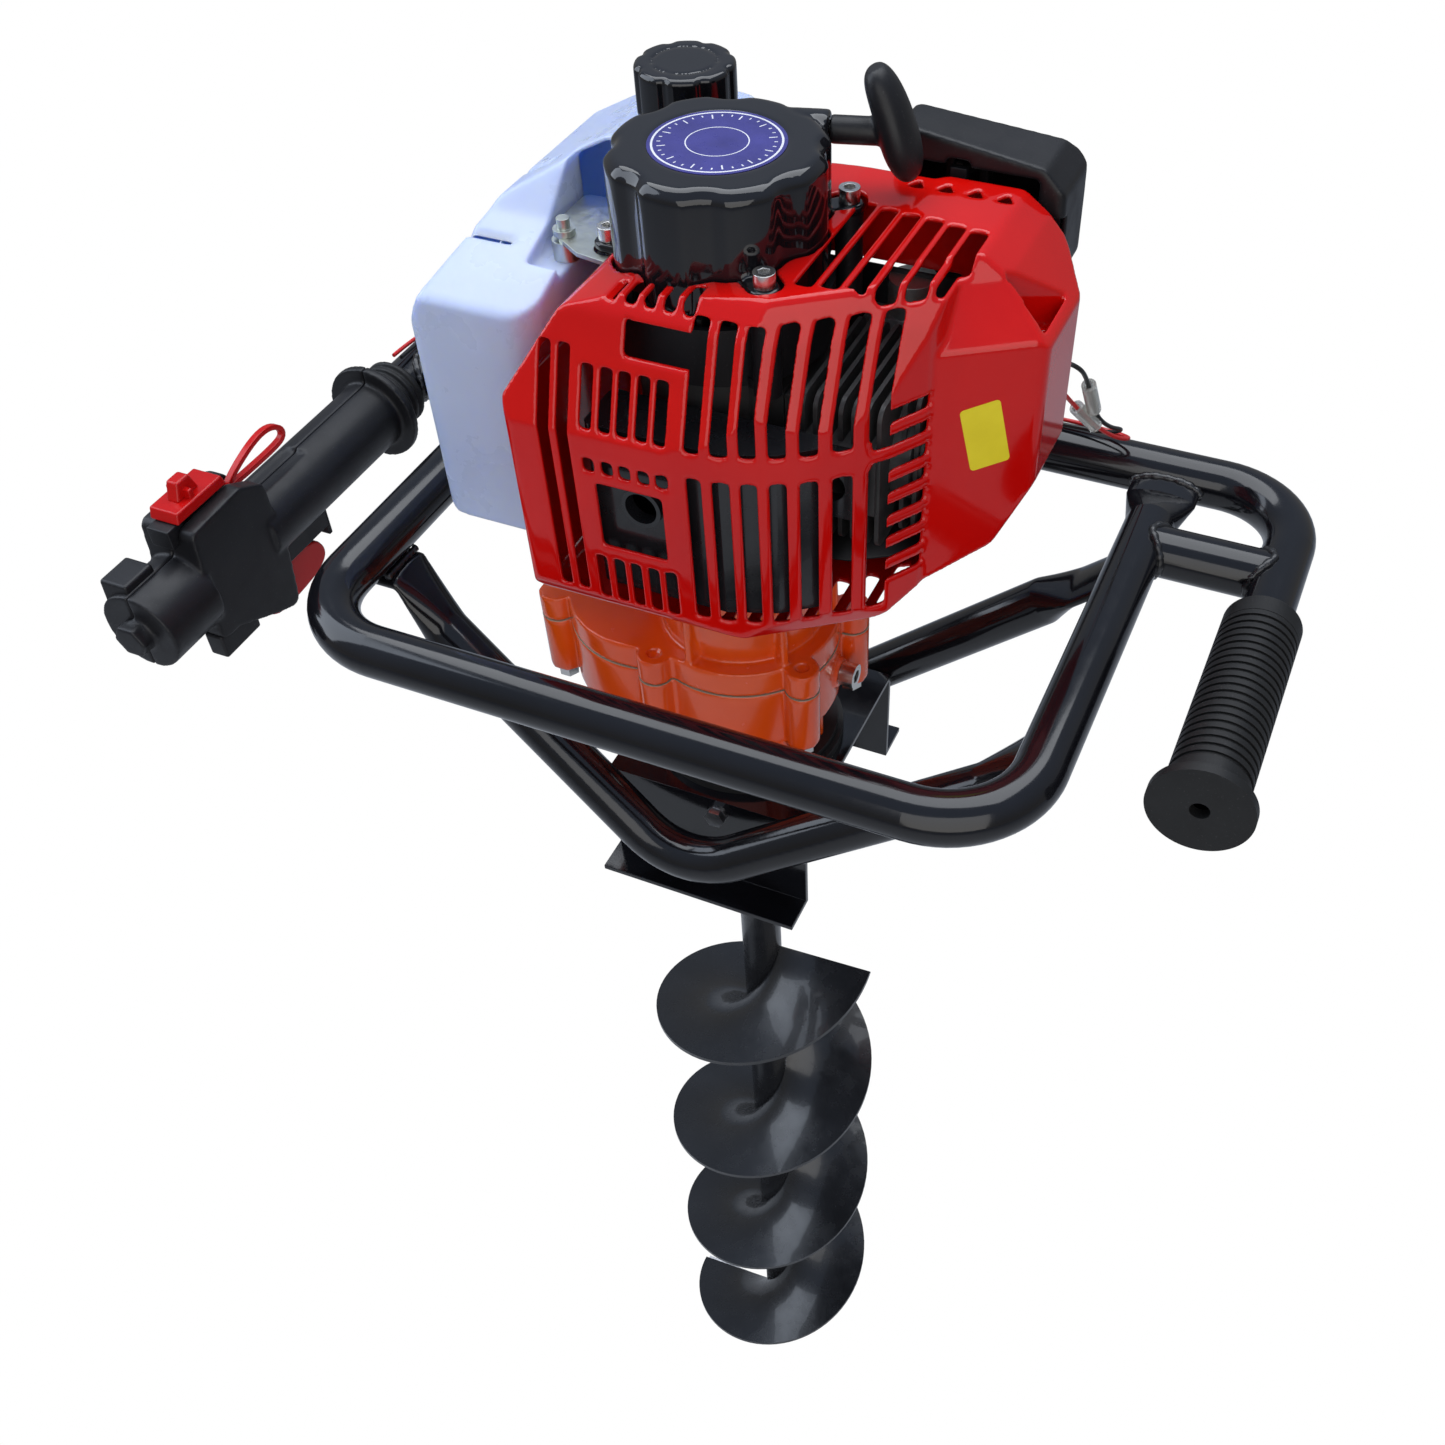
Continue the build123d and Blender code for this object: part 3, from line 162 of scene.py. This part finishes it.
FINISHES = {
    "frame_black": dict(dark=(0.003, 0.003, 0.004), light=(0.006, 0.006, 0.008), rough=(0.09, 0.18),
                        coat=0.25, grain=420, bump=0.14, bump_mm=0.10, ior=1.45),
    "bit_black": dict(dark=(0.006, 0.006, 0.007), light=(0.016, 0.017, 0.020), rough=(0.16, 0.34),
                      coat=0.3, grain=300, bump=0.2, bump_mm=0.12),
    "orange_cast": dict(dark=(0.74, 0.062, 0.003), light=(0.86, 0.098, 0.005), rough=(0.16, 0.30),
                        coat=0.5, grain=260, bump=0.16, bump_mm=0.12),
    "red_plastic": dict(dark=(0.54, 0.002, 0.0015), light=(0.62, 0.004, 0.002), rough=(0.06, 0.12),
                        coat=0.15, grain=110, bump=0.03, bump_mm=0.05, ior=1.42),
    "black_plastic": dict(dark=(0.004, 0.004, 0.005), light=(0.008, 0.008, 0.010), rough=(0.05, 0.11),
                          coat=0.2, grain=160, bump=0.03, bump_mm=0.03),
    "matte_black": dict(dark=(0.005, 0.005, 0.006), light=(0.010, 0.010, 0.012), rough=(0.34, 0.5),
                        grain=900, bump=0.25, bump_mm=0.06, speck=(0.06, 0.06, 0.06), ior=1.4),
    "rubber": dict(dark=(0.006, 0.006, 0.006), light=(0.011, 0.011, 0.011), rough=(0.42, 0.6),
                   grain=700, bump=0.2, bump_mm=0.06, speck=(0.07, 0.07, 0.07), ior=1.4),
    "zinc": dict(dark=(0.42, 0.45, 0.42), light=(0.62, 0.65, 0.60), rough=(0.28, 0.42),
                 metal=1.0, grain=90, bump=0.06, bump_mm=0.08, patch=60),
    "bright_steel": dict(dark=(0.58, 0.57, 0.55), light=(0.75, 0.74, 0.72), rough=(0.16, 0.30),
                         metal=1.0, grain=500, bump=0.08, bump_mm=0.04),
    "steel": dict(dark=(0.30, 0.30, 0.31), light=(0.48, 0.48, 0.49), rough=(0.28, 0.45),
                  metal=1.0, grain=500, bump=0.12, bump_mm=0.05),
    "aluminium": dict(dark=(0.42, 0.42, 0.42), light=(0.58, 0.58, 0.57), rough=(0.35, 0.5),
                      metal=0.9, grain=260, bump=0.3, bump_mm=0.15),
    "badge_blue": dict(dark=(0.028, 0.026, 0.16), light=(0.045, 0.042, 0.23), rough=(0.25, 0.35),
                       grain=900, bump=0.05, bump_mm=0.03, patch=60),
    "red_switch": dict(dark=(0.42, 0.003, 0.003), light=(0.50, 0.005, 0.004), rough=(0.14, 0.24),
                       grain=300, bump=0.04, bump_mm=0.03, ior=1.38),
    "wire_black": dict(dark=(0.008, 0.008, 0.008), light=(0.016, 0.016, 0.016), rough=(0.28, 0.4),
                       grain=900, bump=0.08, bump_mm=0.03),
    "wire_red": dict(dark=(0.45, 0.010, 0.012), light=(0.58, 0.02, 0.02), rough=(0.28, 0.4),
                     grain=900, bump=0.08, bump_mm=0.03),
    "paper": dict(dark=(0.30, 0.26, 0.18), light=(0.40, 0.35, 0.25), rough=(0.7, 0.9),
                  grain=1200, bump=0.2),
    "yellow_patch": dict(dark=(0.80, 0.64, 0.012), light=(0.88, 0.72, 0.02), rough=(0.28, 0.38),
                         grain=900, bump=0.05, bump_mm=0.02, patch=50),
    "badge_print": dict(dark=(0.62, 0.62, 0.66), light=(0.75, 0.75, 0.78), rough=(0.3, 0.4),
                        grain=900, bump=0.04, bump_mm=0.02, patch=60),
    # Painted shade: light metal inside the red cover, coloured dark for the shade in it.
    "painted_shade_metal": dict(dark=(0.035, 0.035, 0.036), light=(0.10, 0.10, 0.10), rough=(0.4, 0.6),
                       metal=0.6, grain=260, bump=0.3, bump_mm=0.15),
    "rope": dict(dark=(0.012, 0.012, 0.012), light=(0.03, 0.03, 0.03), rough=(0.6, 0.8),
                 grain=1500, bump=0.6, bump_mm=0.2, stretch=(1, 1, 3)),
    "bead": dict(dark=(0.006, 0.006, 0.007), light=(0.012, 0.012, 0.013), rough=(0.2, 0.42),
                 coat=0.3, grain=600, bump=0.7, bump_mm=0.5),
    "tank_white": dict(dark=(0.43, 0.50, 0.83), light=(0.50, 0.57, 0.88), rough=(0.24, 0.34),
                       grain=120, bump=0.10, bump_mm=0.15, patch=9),
    "clear_sleeve": dict(dark=(0.72, 0.72, 0.68), light=(0.85, 0.85, 0.80), rough=(0.10, 0.22),
                         grain=500, bump=0.1),
}
MAT = {name: finish(name, **values) for name, values in FINISHES.items()}

# The tank's plastic lets light through a little, and the connectors' sleeves are clear.
tank_sockets = MAT["tank_white"].bsdf.inputs
tank_sockets["Subsurface Weight"].default_value = 0.6
tank_sockets["Subsurface Radius"].default_value = (0.4, 0.5, 1.0)
tank_sockets["Subsurface Scale"].default_value = 0.012
MAT["clear_sleeve"].bsdf.inputs["Transmission Weight"].default_value = 0.75


def paint(obj, slot_name):
    obj.data.materials.clear()
    obj.data.materials.append(MAT[slot_name].mat)
    return obj


JOIN_M = 2e-6                  # vertices this close are one
FLAT_DEG = 0.4                 # faces that differ by less are made one
SHARP_DEG = 32.0               # edges that turn by more are rounded


def join_vertices(obj):
    join = obj.modifiers.new("join", "WELD")
    join.merge_threshold = JOIN_M


def round_edges(obj, width_mm, segments):
    """Adds the bevel, and shading that keeps the flat faces flat."""
    edges = obj.modifiers.new("edges", "BEVEL")
    edges.width = width_mm / 1000
    edges.segments = segments
    shade = obj.modifiers.new("shade", "WEIGHTED_NORMAL")
    shade.keep_sharp = False
    return edges


def bevel(obj, width_mm):
    """Rounds the edges of a piece for show: joined vertices, flat faces made whole, then the bevel."""
    join_vertices(obj)
    whole = obj.modifiers.new("whole", "DECIMATE")
    whole.decimate_type = "DISSOLVE"
    whole.angle_limit = math.radians(FLAT_DEG)
    edges = round_edges(obj, width_mm, 2)
    edges.limit_method = "ANGLE"
    edges.angle_limit = math.radians(SHARP_DEG)
    edges.use_clamp_overlap = True


def moulded(obj, voxel_mm, rounds):
    """Softens every edge of a moulded, blown or cast CAD node for show."""
    join_vertices(obj)
    skin = obj.modifiers.new("skin", "REMESH")
    skin.mode = "VOXEL"
    skin.voxel_size = voxel_mm / 1000
    skin.use_smooth_shade = True
    soft = obj.modifiers.new("soft", "SMOOTH")
    soft.factor = 0.5
    soft.iterations = rounds


def band(a, b, count):
    """Faces between a ring of count points that starts at a and one that starts at b."""
    return [(a + k, a + (k + 1) % count, b + (k + 1) % count, b + k) for k in range(count)]


def add_mesh(name, points, faces, slot_name, body="frame"):
    mesh = bpy.data.meshes.new(name)
    mesh.from_pydata([tuple(p) for p in points], [], faces)
    mesh.validate()
    obj = bpy.data.objects.new(name, mesh)
    bpy.context.scene.collection.objects.link(obj)
    for poly in mesh.polygons:
        poly.use_smooth = True
    paint(obj, slot_name)
    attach(obj, body)
    return obj


def slab(name, first, second, slot_name, body="frame"):
    """Closed piece between two outlines of equal count."""
    n = len(first)
    faces = [tuple(range(n)), tuple(range(n, 2 * n))[::-1]] + band(n, 0, n)
    return add_mesh(name, first + second, faces, slot_name, body)


TUBE_SIDES = 10


def tube_along(name, path, radii, slot_name, closed=False):
    """A round bead along points, each with its own radius in metres."""
    count = len(path)
    points, faces = [], []
    for i, here in enumerate(path):
        ahead = path[(i + 1) % count] if closed or i + 1 < count else here
        behind = path[i - 1] if closed or i else here
        along = (ahead - behind).normalized()
        aside = Vector((0, 0, 1)) if abs(along.z) < 0.9 else Vector((1, 0, 0))
        across = along.cross(aside).normalized()
        other = across.cross(along)
        for k in range(TUBE_SIDES):
            a = 2 * math.pi * k / TUBE_SIDES
            points.append(here + (across * math.cos(a) + other * math.sin(a)) * radii[i])
    for i in range(count if closed else count - 1):
        faces += band(i * TUBE_SIDES, (i + 1) % count * TUBE_SIDES, TUBE_SIDES)
    if not closed:
        faces.append(tuple(range(TUBE_SIDES))[::-1])
        faces.append(tuple((count - 1) * TUBE_SIDES + k for k in range(TUBE_SIDES)))
    return add_mesh(name, points, faces, slot_name, "frame")


# Size of the grid in millimetres, and rounds of softening.
MOULDED = {
    "engine_shroud": (1.0, 7), "starter_cover": (1.0, 8), "fuel_tank": (1.2, 9), "gearbox_upper_case": (1.0, 6),
    "gearbox_lower_case": (1.0, 6), "throttle_handle_left": (0.9, 8), "throttle_handle_right": (0.9, 8),
    "air_filter_cover": (0.9, 9), "fuel_cap": (0.7, 6), "pull_handle": (0.7, 8), "sleeve": (0.7, 3),
    "choke_lever": (0.5, 4), "front_v_brace": (1.2, 6), "rear_v_brace": (1.2, 6), "plug_boot": (0.7, 4),
}
# Width of the rounded edge in millimetres.
ROUNDED = {
    "foot_bracket": 0.5, "starter_bolts": 0.3, "gearbox_bolts": 0.3, "tank_plate": 0.3, "muffler": 0.5,
    "engine_cylinder": 0.3, "carburettor": 0.5, "bracket_bolts": 0.3, "right_grip": 0.4,
}
# Light metal inside the red cover, painted darker as shade so it looks black through the slots.
SHADE_DARKENED = ("engine_cylinder", "crankcase_upper", "crankcase_lower", "flywheel_fan")
for row in frame["record"]["subparts"]:
    name = row["node"]
    node = frame["nodes"][name]
    node.data.materials.clear()
    node.data.materials.append(MAT["painted_shade_metal" if name in SHADE_DARKENED else row["material_slot"]].mat)
    if name in MOULDED:
        moulded(node, *MOULDED[name])
    elif name in ROUNDED:
        bevel(node, ROUNDED[name])


# ---------------------------------------------------------------- leads
LEAD_R = 1.1


def wire(name, route, slot_name):
    """Round lead on one smooth curve along its route."""
    curve = bpy.data.curves.new(name, "CURVE")
    curve.dimensions = "3D"
    spline = curve.splines.new("NURBS")
    spline.points.add(len(route) - 1)
    for point, place in zip(spline.points, route):
        point.co = (*mm(*place), 1)
    spline.order_u = 3
    spline.use_endpoint_u = True
    curve.resolution_u = 16
    curve.bevel_depth = LEAD_R / 1000
    curve.bevel_resolution = 4
    curve.use_fill_caps = True
    obj = bpy.data.objects.new(name, curve)
    bpy.context.scene.collection.objects.link(obj)
    obj.data.materials.append(MAT[slot_name].mat)
    return obj


BLACK_ROUTE = [
    (112, 64, 104), (114, 76, 102), (124, 86, 95), (137, 88, 92), (139, 101, 78), (142, 116, 51),
    (147, 130, 36), (153, 146, 26), (143, 153, 17),
    (117, 156, 14.6), (66, 153, 14.6), (14, 156, 14.6), (-40, 153, 14.6), (-94, 156, 14.6), (-148, 154, 14.6),
    (-200, 155, 14.6), (-238, 141, 14.6), (-250, 104, 14.6), (-247, 78, 17.2),
]
RED_ROUTE = [
    (108, 64, 92), (110, 76, 90), (119, 86, 84), (130, 94, 73), (132, 107, 60), (144, 122, 39),
    (152, 137, 26), (157, 150, 19), (144, 158, 15.4),
    (117, 161, 14.4), (66, 158, 14.6), (14, 161, 14.4), (-40, 158, 14.6), (-94, 161, 14.4), (-148, 159, 14.6),
    (-202, 160, 14.4), (-243, 144, 14.6), (-254, 104, 14.6), (-252, 78, 17.2),
]
black_lead = wire("black_wire", BLACK_ROUTE, "wire_black")
red_lead = wire("red_wire", RED_ROUTE, "wire_red")
for lead, route, node in ((black_lead, BLACK_ROUTE, "black_lead"), (red_lead, RED_ROUTE, "red_lead")):
    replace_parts(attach(lead, "frame"), node)


# ---------------------------------------------------------------- weld beads
BEAD_SEAT_R = 13.2             # radius on which a bead lies, just outside its tube
RING_BEAD_R = 2.0
STRAIGHT_BEAD_R = 1.9
RING_STEPS = 56
STRAIGHT_STEPS = 25
RIPPLE = 0.16


def ripple(i, radius):
    """The bead's radius at step i, in metres: uneven, as a hand-laid bead is."""
    return radius * (1 + RIPPLE * math.sin(i * 1.9) + 0.5 * RIPPLE * math.sin(i * 0.73 + 1.1)) / 1000


def weld(name, centre, along, wide, high, half_wide, half_high, hub, keep):
    """Ring bead where a bar of oval section meets a round tube of the frame.

    Each point of the section goes along the bar until it meets the tube about hub. Keep drops the
    direction in which that tube runs.
    """
    centre, along = Vector(centre), Vector(along).normalized()
    wide, high = Vector(wide).normalized(), Vector(high).normalized()
    keep, hub = Vector(keep), Vector(hub)
    path = []
    for i in range(RING_STEPS):
        t = 2 * math.pi * i / RING_STEPS
        start = centre + wide * half_wide * math.cos(t) + high * half_high * math.sin(t)
        d = Vector(u * v for u, v in zip(along, keep))
        p = Vector(u * v for u, v in zip(start - hub, keep))
        a, b, c = d.dot(d), 2 * p.dot(d), p.dot(p) - BEAD_SEAT_R ** 2
        root = b * b - 4 * a * c
        go = (-b - math.sqrt(root)) / (2 * a) if root > 0 else -b / (2 * a)
        path.append(mm(*(start + along * go)))
    tube_along(name, path, [ripple(i, RING_BEAD_R) for i in range(RING_STEPS)], "bead", closed=True)


X, Y, Z = (1, 0, 0), (0, 1, 0), (0, 0, 1)
TUBE_ALONG_X, TUBE_ALONG_Y = (0, 1, 1), (1, 0, 1)
for side, word in ((-1, "left"), (1, "right")):
    rail, arm = (side * RAIL_X, 0, 0), (side * ARM_X, 0, 0)
    strut = (side * 215, STRUT_Y, 0)
    weld(f"weld_strut_rail_{word}", strut, (-side, 0, 0), Y, Z, 12.4, 12.4, rail, TUBE_ALONG_Y)
    weld(f"weld_strut_arm_{word}", strut, (side, 0, 0), Y, Z, 12.4, 12.4, arm, TUBE_ALONG_Y)
    weld(f"weld_rail_bar_{word}", (side * RAIL_X, 128, 0), Y, X, Z, 17.6, 5.4, (0, REAR_Y, 0), TUBE_ALONG_X)
    weld(f"weld_rear_brace_{word}", (side * 150, REAR_BRACE_Y, -31.2), (side, 0, REAR_SLOPE), Y,
         (-side * REAR_SLOPE, 0, 1), 16.6, 4.8, rail, TUBE_ALONG_Y)
    for n, x in enumerate((172.5, 182.5)):
        path = [mm(side * x, -61.5 + 1.1 * i, -13.4) for i in range(STRAIGHT_STEPS)]
        radii = [ripple(i, STRAIGHT_BEAD_R) for i in range(STRAIGHT_STEPS)]
        tube_along(f"weld_front_brace_{word}_{n}", path, radii, "bead")


# ---------------------------------------------------------------- throttle handle details
ARM = -ARM_X                   # x of the throttle handle's middle


def block(name, lo, hi, slot_name, body, round_mm, top=1.0):
    """Box on the handle with rounded edges, x from the handle's middle; its upper face is top times as long."""
    cy = (lo[1] + hi[1]) / 2
    lower, upper = [], []
    for ring_points, z, k in ((lower, lo[2], 1.0), (upper, hi[2], top)):
        for x, y in ((lo[0], lo[1]), (hi[0], lo[1]), (hi[0], hi[1]), (lo[0], hi[1])):
            ring_points.append(mm(ARM + x, cy + (y - cy) * k, z))
    obj = slab(name, upper, lower, slot_name, body)
    round_edges(obj, round_mm, 3)
    return obj


block("switch_plate", (-8.5, -117, 38.6), (8.5, -79.5, 44.5), "red_switch", "frame", 1.0, 0.9)
knob = block("switch_knob", (-3.5, -108, 44.0), (3.5, -92, 53.5), "red_switch", "stop", 1.2, 0.55)
block("switch_ridge", (-7.0, -103, 44.0), (7.0, -99, 49.0), "red_switch", "stop", 0.8, 0.7)
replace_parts(knob, "stop_switch")
block("switch_seat", (-6.4, -123.2, 28), (6.4, -112, 38.4), "matte_black", "frame", 0.8)
block("clamp_lug", (-17, -153, 10), (-1, -131, 25), "matte_black", "frame", 1.6, 0.9)
block("cable_outlet", (4, -124, -38), (15, -96, -24), "matte_black", "frame", 1.6)


def corner_cut(outline):
    """The closed outline with its corners cut twice, which rounds them."""
    for _ in range(2):
        cut = []
        for a, b in zip(outline, outline[1:] + outline[:1]):
            cut.append((a[0] * 0.75 + b[0] * 0.25, a[1] * 0.75 + b[1] * 0.25))
            cut.append((a[0] * 0.25 + b[0] * 0.75, a[1] * 0.25 + b[1] * 0.75))
        outline = cut
    return outline


def strap(name, outline, half_thick, half_width, slot_name, body):
    """Closed flat-sectioned loop lying in the plane of the handle."""
    points, faces = [], []
    n = len(outline)
    for i, (y, z) in enumerate(outline):
        ay, az = outline[(i + 1) % n]
        by, bz = outline[i - 1]
        length = math.hypot(ay - by, az - bz)
        ny, nz = -(az - bz) / length, (ay - by) / length
        for side, out in ((-1, -1), (1, -1), (1, 1), (-1, 1)):
            points.append(mm(ARM + side * half_width, y + ny * out * half_thick, z + nz * out * half_thick))
        faces += band(4 * i, 4 * ((i + 1) % n), 4)
    obj = add_mesh(name, points, faces, slot_name, body)
    round_edges(obj, 0.7, 2).limit_method = "ANGLE"
    return obj


# Cheeks and a guard stand round the trigger and leave it room to swing.
block("trigger_cheek_left", (-8.2, -70, -28), (-6.2, -20.5, -13), "matte_black", "frame", 0.7)
block("trigger_cheek_right", (6.2, -70, -28), (8.2, -20.5, -13), "matte_black", "frame", 0.7)
block("trigger_guard", (-8.2, -22.5, -34), (8.2, -19.5, -13), "matte_black", "frame", 1.0)

LOOP_SIDE = corner_cut([(-75, 29), (-64, 35), (-46, 40.5), (-34, 40.5), (-26, 35.5), (-26, 30), (-35, 28.5),
                        (-58, 28.5)])
loop = strap("lockout_loop", LOOP_SIDE, 1.4, 1.7, "red_switch", "lockout")
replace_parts(loop, "lockout_lever")

PADDLE_SIDE = corner_cut([(-79, -20), (-68, -20), (-56, -25), (-42, -28.5), (-31, -32), (-26, -39), (-27, -46),
                          (-36, -50.5), (-56, -52.5), (-77, -52), (-80, -40)])
left_face, right_face = [[mm(ARM + x, y, z) for y, z in PADDLE_SIDE] for x in (-5.5, 5.5)]
paddle = slab("trigger_paddle", left_face, right_face, "red_switch", "trigger")
bevel(paddle, 1.6)
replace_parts(paddle, "throttle_trigger")


# ---------------------------------------------------------------- badge rings and ticks
BADGE_Z = 210.93
RING_SIDES = 96
TICKS = 36


def ring(name, inner, outer):
    """Flat printed ring on the badge."""
    points = []
    for r in (inner, outer):
        for i in range(RING_SIDES):
            a = 2 * math.pi * i / RING_SIDES
            points.append(mm(r * math.cos(a), r * math.sin(a), BADGE_Z))
    add_mesh(name, points, band(RING_SIDES, 0, RING_SIDES), "badge_print", "frame")


ring("badge_ring_outer", 25.6, 26.5)
ring("badge_ring_inner", 12.4, 12.9)
points, faces = [], []
for k in range(TICKS):
    a = 2 * math.pi * k / TICKS
    outward, sideways = Vector((math.cos(a), math.sin(a), 0)), Vector((-math.sin(a), math.cos(a), 0))
    first = 20.6 if k % 3 == 0 else 22.6
    for r, w in ((first, -0.3), (24.0, -0.3), (24.0, 0.3), (first, 0.3)):
        points.append(mm(*(outward * r + sideways * w).xy, BADGE_Z))
    faces.append(tuple(range(4 * k, 4 * k + 4)))
add_mesh("badge_ticks", points, faces, "badge_print", "frame")


# ---------------------------------------------------------------- dark plates inside the red cover: painted shade
# They are black sheets standing in for the shade inside, and keep the far side from being seen through the slots.
LEVEL_SHADE_PLAN = [(34, -36), (70, -30), (98, -12), (108, 0), (110, 60), (74, 62), (34, 36)]
level_shade_upper, level_shade_lower = [[mm(x, y, z) for x, y in LEVEL_SHADE_PLAN] for z in (47.2, 46)]
slab("level_shade_sheet", level_shade_upper, level_shade_lower, "matte_black")

# Painted shade: a second black sheet, upright, behind the slots.
UPRIGHT_SHADE_XZ = [(21, 67), (83, 67), (83, 136), (21, 136)]
upright_shade_front, upright_shade_back = [[mm(x, y, z) for x, z in UPRIGHT_SHADE_XZ] for y in (64.6, 65.8)]
slab("upright_shade_sheet", upright_shade_front, upright_shade_back, "matte_black")


# ---------------------------------------------------------------- plain yellow patch
PATCH_OUT = Vector((0.5493, -0.8356, 0))       # square to the sloping side of the red cover
PATCH_ALONG = Vector((0.8356, 0.5493, 0))
PATCH_CENTRE = Vector((121.0, -6.17, 110.0))
PATCH_SIZE = (17.5, 31.0)
PATCH_CORNER = 1.8
PATCH_TURN = math.radians(13.0)
PATCH_LIFT = 0.05
PATCH_THICK = 0.12


def rounded(width, height, radius, steps=6):
    """Outline of a rectangle with round corners."""
    outline = []
    for cx, cy, start in ((1, 1, 0), (-1, 1, 90), (-1, -1, 180), (1, -1, 270)):
        for i in range(steps + 1):
            a = math.radians(start + 90 * i / steps)
            outline.append((cx * (width / 2 - radius) + radius * math.cos(a),
                            cy * (height / 2 - radius) + radius * math.sin(a)))
    return outline


c, s = math.cos(PATCH_TURN), math.sin(PATCH_TURN)
patch_outline = rounded(*PATCH_SIZE, PATCH_CORNER)
points = []
for layer in (PATCH_LIFT, PATCH_LIFT + PATCH_THICK):
    for u, v in patch_outline:
        p = PATCH_CENTRE + PATCH_ALONG * (u * c - v * s) + Vector((0, 0, 1)) * (u * s + v * c) + PATCH_OUT * layer
        points.append(mm(*p))
n = len(patch_outline)
patch = add_mesh("plain_yellow_patch", points, [tuple(range(n, 2 * n))] + band(0, n, n), "yellow_patch", "frame")
for poly in patch.data.polygons:
    poly.use_smooth = False


# ---------------------------------------------------------------- starter rope
ROPE_STEPS = 25
ROPE_START = 34                # along the pull, from the starter's middle
ROPE_SHOWN = 16.0
ROPE_Z = 204
pull_turn = math.radians(PULL_TURN)
c, s = math.cos(pull_turn), math.sin(pull_turn)
rope_path = []
for i in range(ROPE_STEPS):
    x = ROPE_START + ROPE_SHOWN * i / (ROPE_STEPS - 1)
    rope_path.append(mm(x * c - ROPE_PULL_R * s, x * s + ROPE_PULL_R * c, ROPE_Z))
rope = tube_along("starter_rope", rope_path, [0.0016] * ROPE_STEPS, "rope")
# The rope belongs to no single body: it stretches between the cover and the pull handle.
rope.parent = None
rope.pop("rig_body", None)
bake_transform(rope)


# ---------------------------------------------------------------- camera
scene = bpy.context.scene
camera = bpy.data.objects.new("camera", bpy.data.cameras.new("camera"))
scene.collection.objects.link(camera)
CAMERA_PLACE = (266.45, -531.68, 476.63)
CAMERA_TURN = Matrix(((0.9178572, -0.2883167, 0.2727851), (0.3964082, 0.7004677, -0.5934691),
                      (-0.0199701, 0.6528541, 0.7572204)))
camera.matrix_world = Matrix.Translation(mm(*CAMERA_PLACE)) @ CAMERA_TURN.to_4x4()
camera.data.lens = 37.307
camera.data.shift_x = -0.0464
camera.data.shift_y = 0.0827
camera.data.clip_start = 0.01
scene.camera = camera


# ---------------------------------------------------------------- lamps
def light(name, where, aim, size, power, colour):
    """Area lamp at a place, turned to another; size in metres, power in watts."""
    lamp = bpy.data.lights.new(name, "AREA")
    lamp.shape = "RECTANGLE"
    lamp.size, lamp.size_y = size
    lamp.energy = power
    lamp.color = colour
    obj = bpy.data.objects.new(name, lamp)
    scene.collection.objects.link(obj)
    obj.location = mm(*where)
    obj.rotation_euler = (mm(*aim) - obj.location).to_track_quat("-Z", "Y").to_euler()


light("overhead", (-150, 500, 1700), (0, 0, 0), (2.2, 1.6), 34, (0.93, 0.96, 1.0))
light("front_fill", (900, -1900, 700), (0, 0, -100), (2.6, 2.2), 26, (1.0, 0.98, 0.95))
light("left_sky", (-1500, -300, 900), (0, 0, 0), (1.2, 1.6), 16, (0.80, 0.88, 1.0))


# ---------------------------------------------------------------- world and floor
def split_by_ray(tree, lighting, seen, surface):
    """The camera sees one shader, and the object is lit by the other."""
    rays = tree.nodes.new("ShaderNodeLightPath")
    mix = tree.nodes.new("ShaderNodeMixShader")
    tree.links.new(rays.outputs["Is Camera Ray"], mix.inputs["Fac"])
    tree.links.new(lighting.outputs[0], mix.inputs[1])
    tree.links.new(seen.outputs[0], mix.inputs[2])
    tree.links.new(mix.outputs[0], surface)


world = bpy.data.worlds.new("world")
scene.world = world
world.use_nodes = True
tree = world.node_tree
tree.nodes.clear()
coord = tree.nodes.new("ShaderNodeTexCoord")
split = tree.nodes.new("ShaderNodeSeparateXYZ")
tree.links.new(coord.outputs["Generated"], split.inputs[0])
ramp = tree.nodes.new("ShaderNodeValToRGB")
ramp.color_ramp.elements[0].position = 0.0
ramp.color_ramp.elements[0].color = (0.42, 0.42, 0.42, 1)
ramp.color_ramp.elements[1].position = 0.8
ramp.color_ramp.elements[1].color = (0.62, 0.75, 1.0, 1)
tree.links.new(split.outputs["Z"], ramp.inputs["Fac"])
sky = tree.nodes.new("ShaderNodeBackground")
sky.inputs["Strength"].default_value = 0.5
tree.links.new(ramp.outputs["Color"], sky.inputs["Color"])
white = tree.nodes.new("ShaderNodeBackground")
white.inputs["Strength"].default_value = 1.0
white.inputs["Color"].default_value = (1, 1, 1, 1)
split_by_ray(tree, sky, white, tree.nodes.new("ShaderNodeOutputWorld").inputs["Surface"])

FLOOR_SIZE = 8
FLOOR_Z = -0.0015              # just under the drill point
bpy.ops.mesh.primitive_plane_add(size=FLOOR_SIZE, location=(0, 0, FLOOR_Z))
floor = bpy.context.object
floor.name = "floor"
material = bpy.data.materials.new("floor")
material.use_nodes = True
tree = material.node_tree
matt = tree.nodes["Principled BSDF"]
matt.inputs["Roughness"].default_value = 0.8
noise = tree.nodes.new("ShaderNodeTexNoise")
noise.inputs["Scale"].default_value = 60
tone = tree.nodes.new("ShaderNodeValToRGB")
tone.color_ramp.elements[0].color = (0.42, 0.42, 0.42, 1)
tone.color_ramp.elements[1].color = (0.48, 0.48, 0.48, 1)
tree.links.new(noise.outputs["Fac"], tone.inputs["Fac"])
tree.links.new(tone.outputs["Color"], matt.inputs["Base Color"])
glow = tree.nodes.new("ShaderNodeEmission")
glow.inputs["Strength"].default_value = 1.0
split_by_ray(tree, matt, glow, tree.nodes["Material Output"].inputs["Surface"])
floor.data.materials.append(material)

scene.view_settings.view_transform = "Standard"
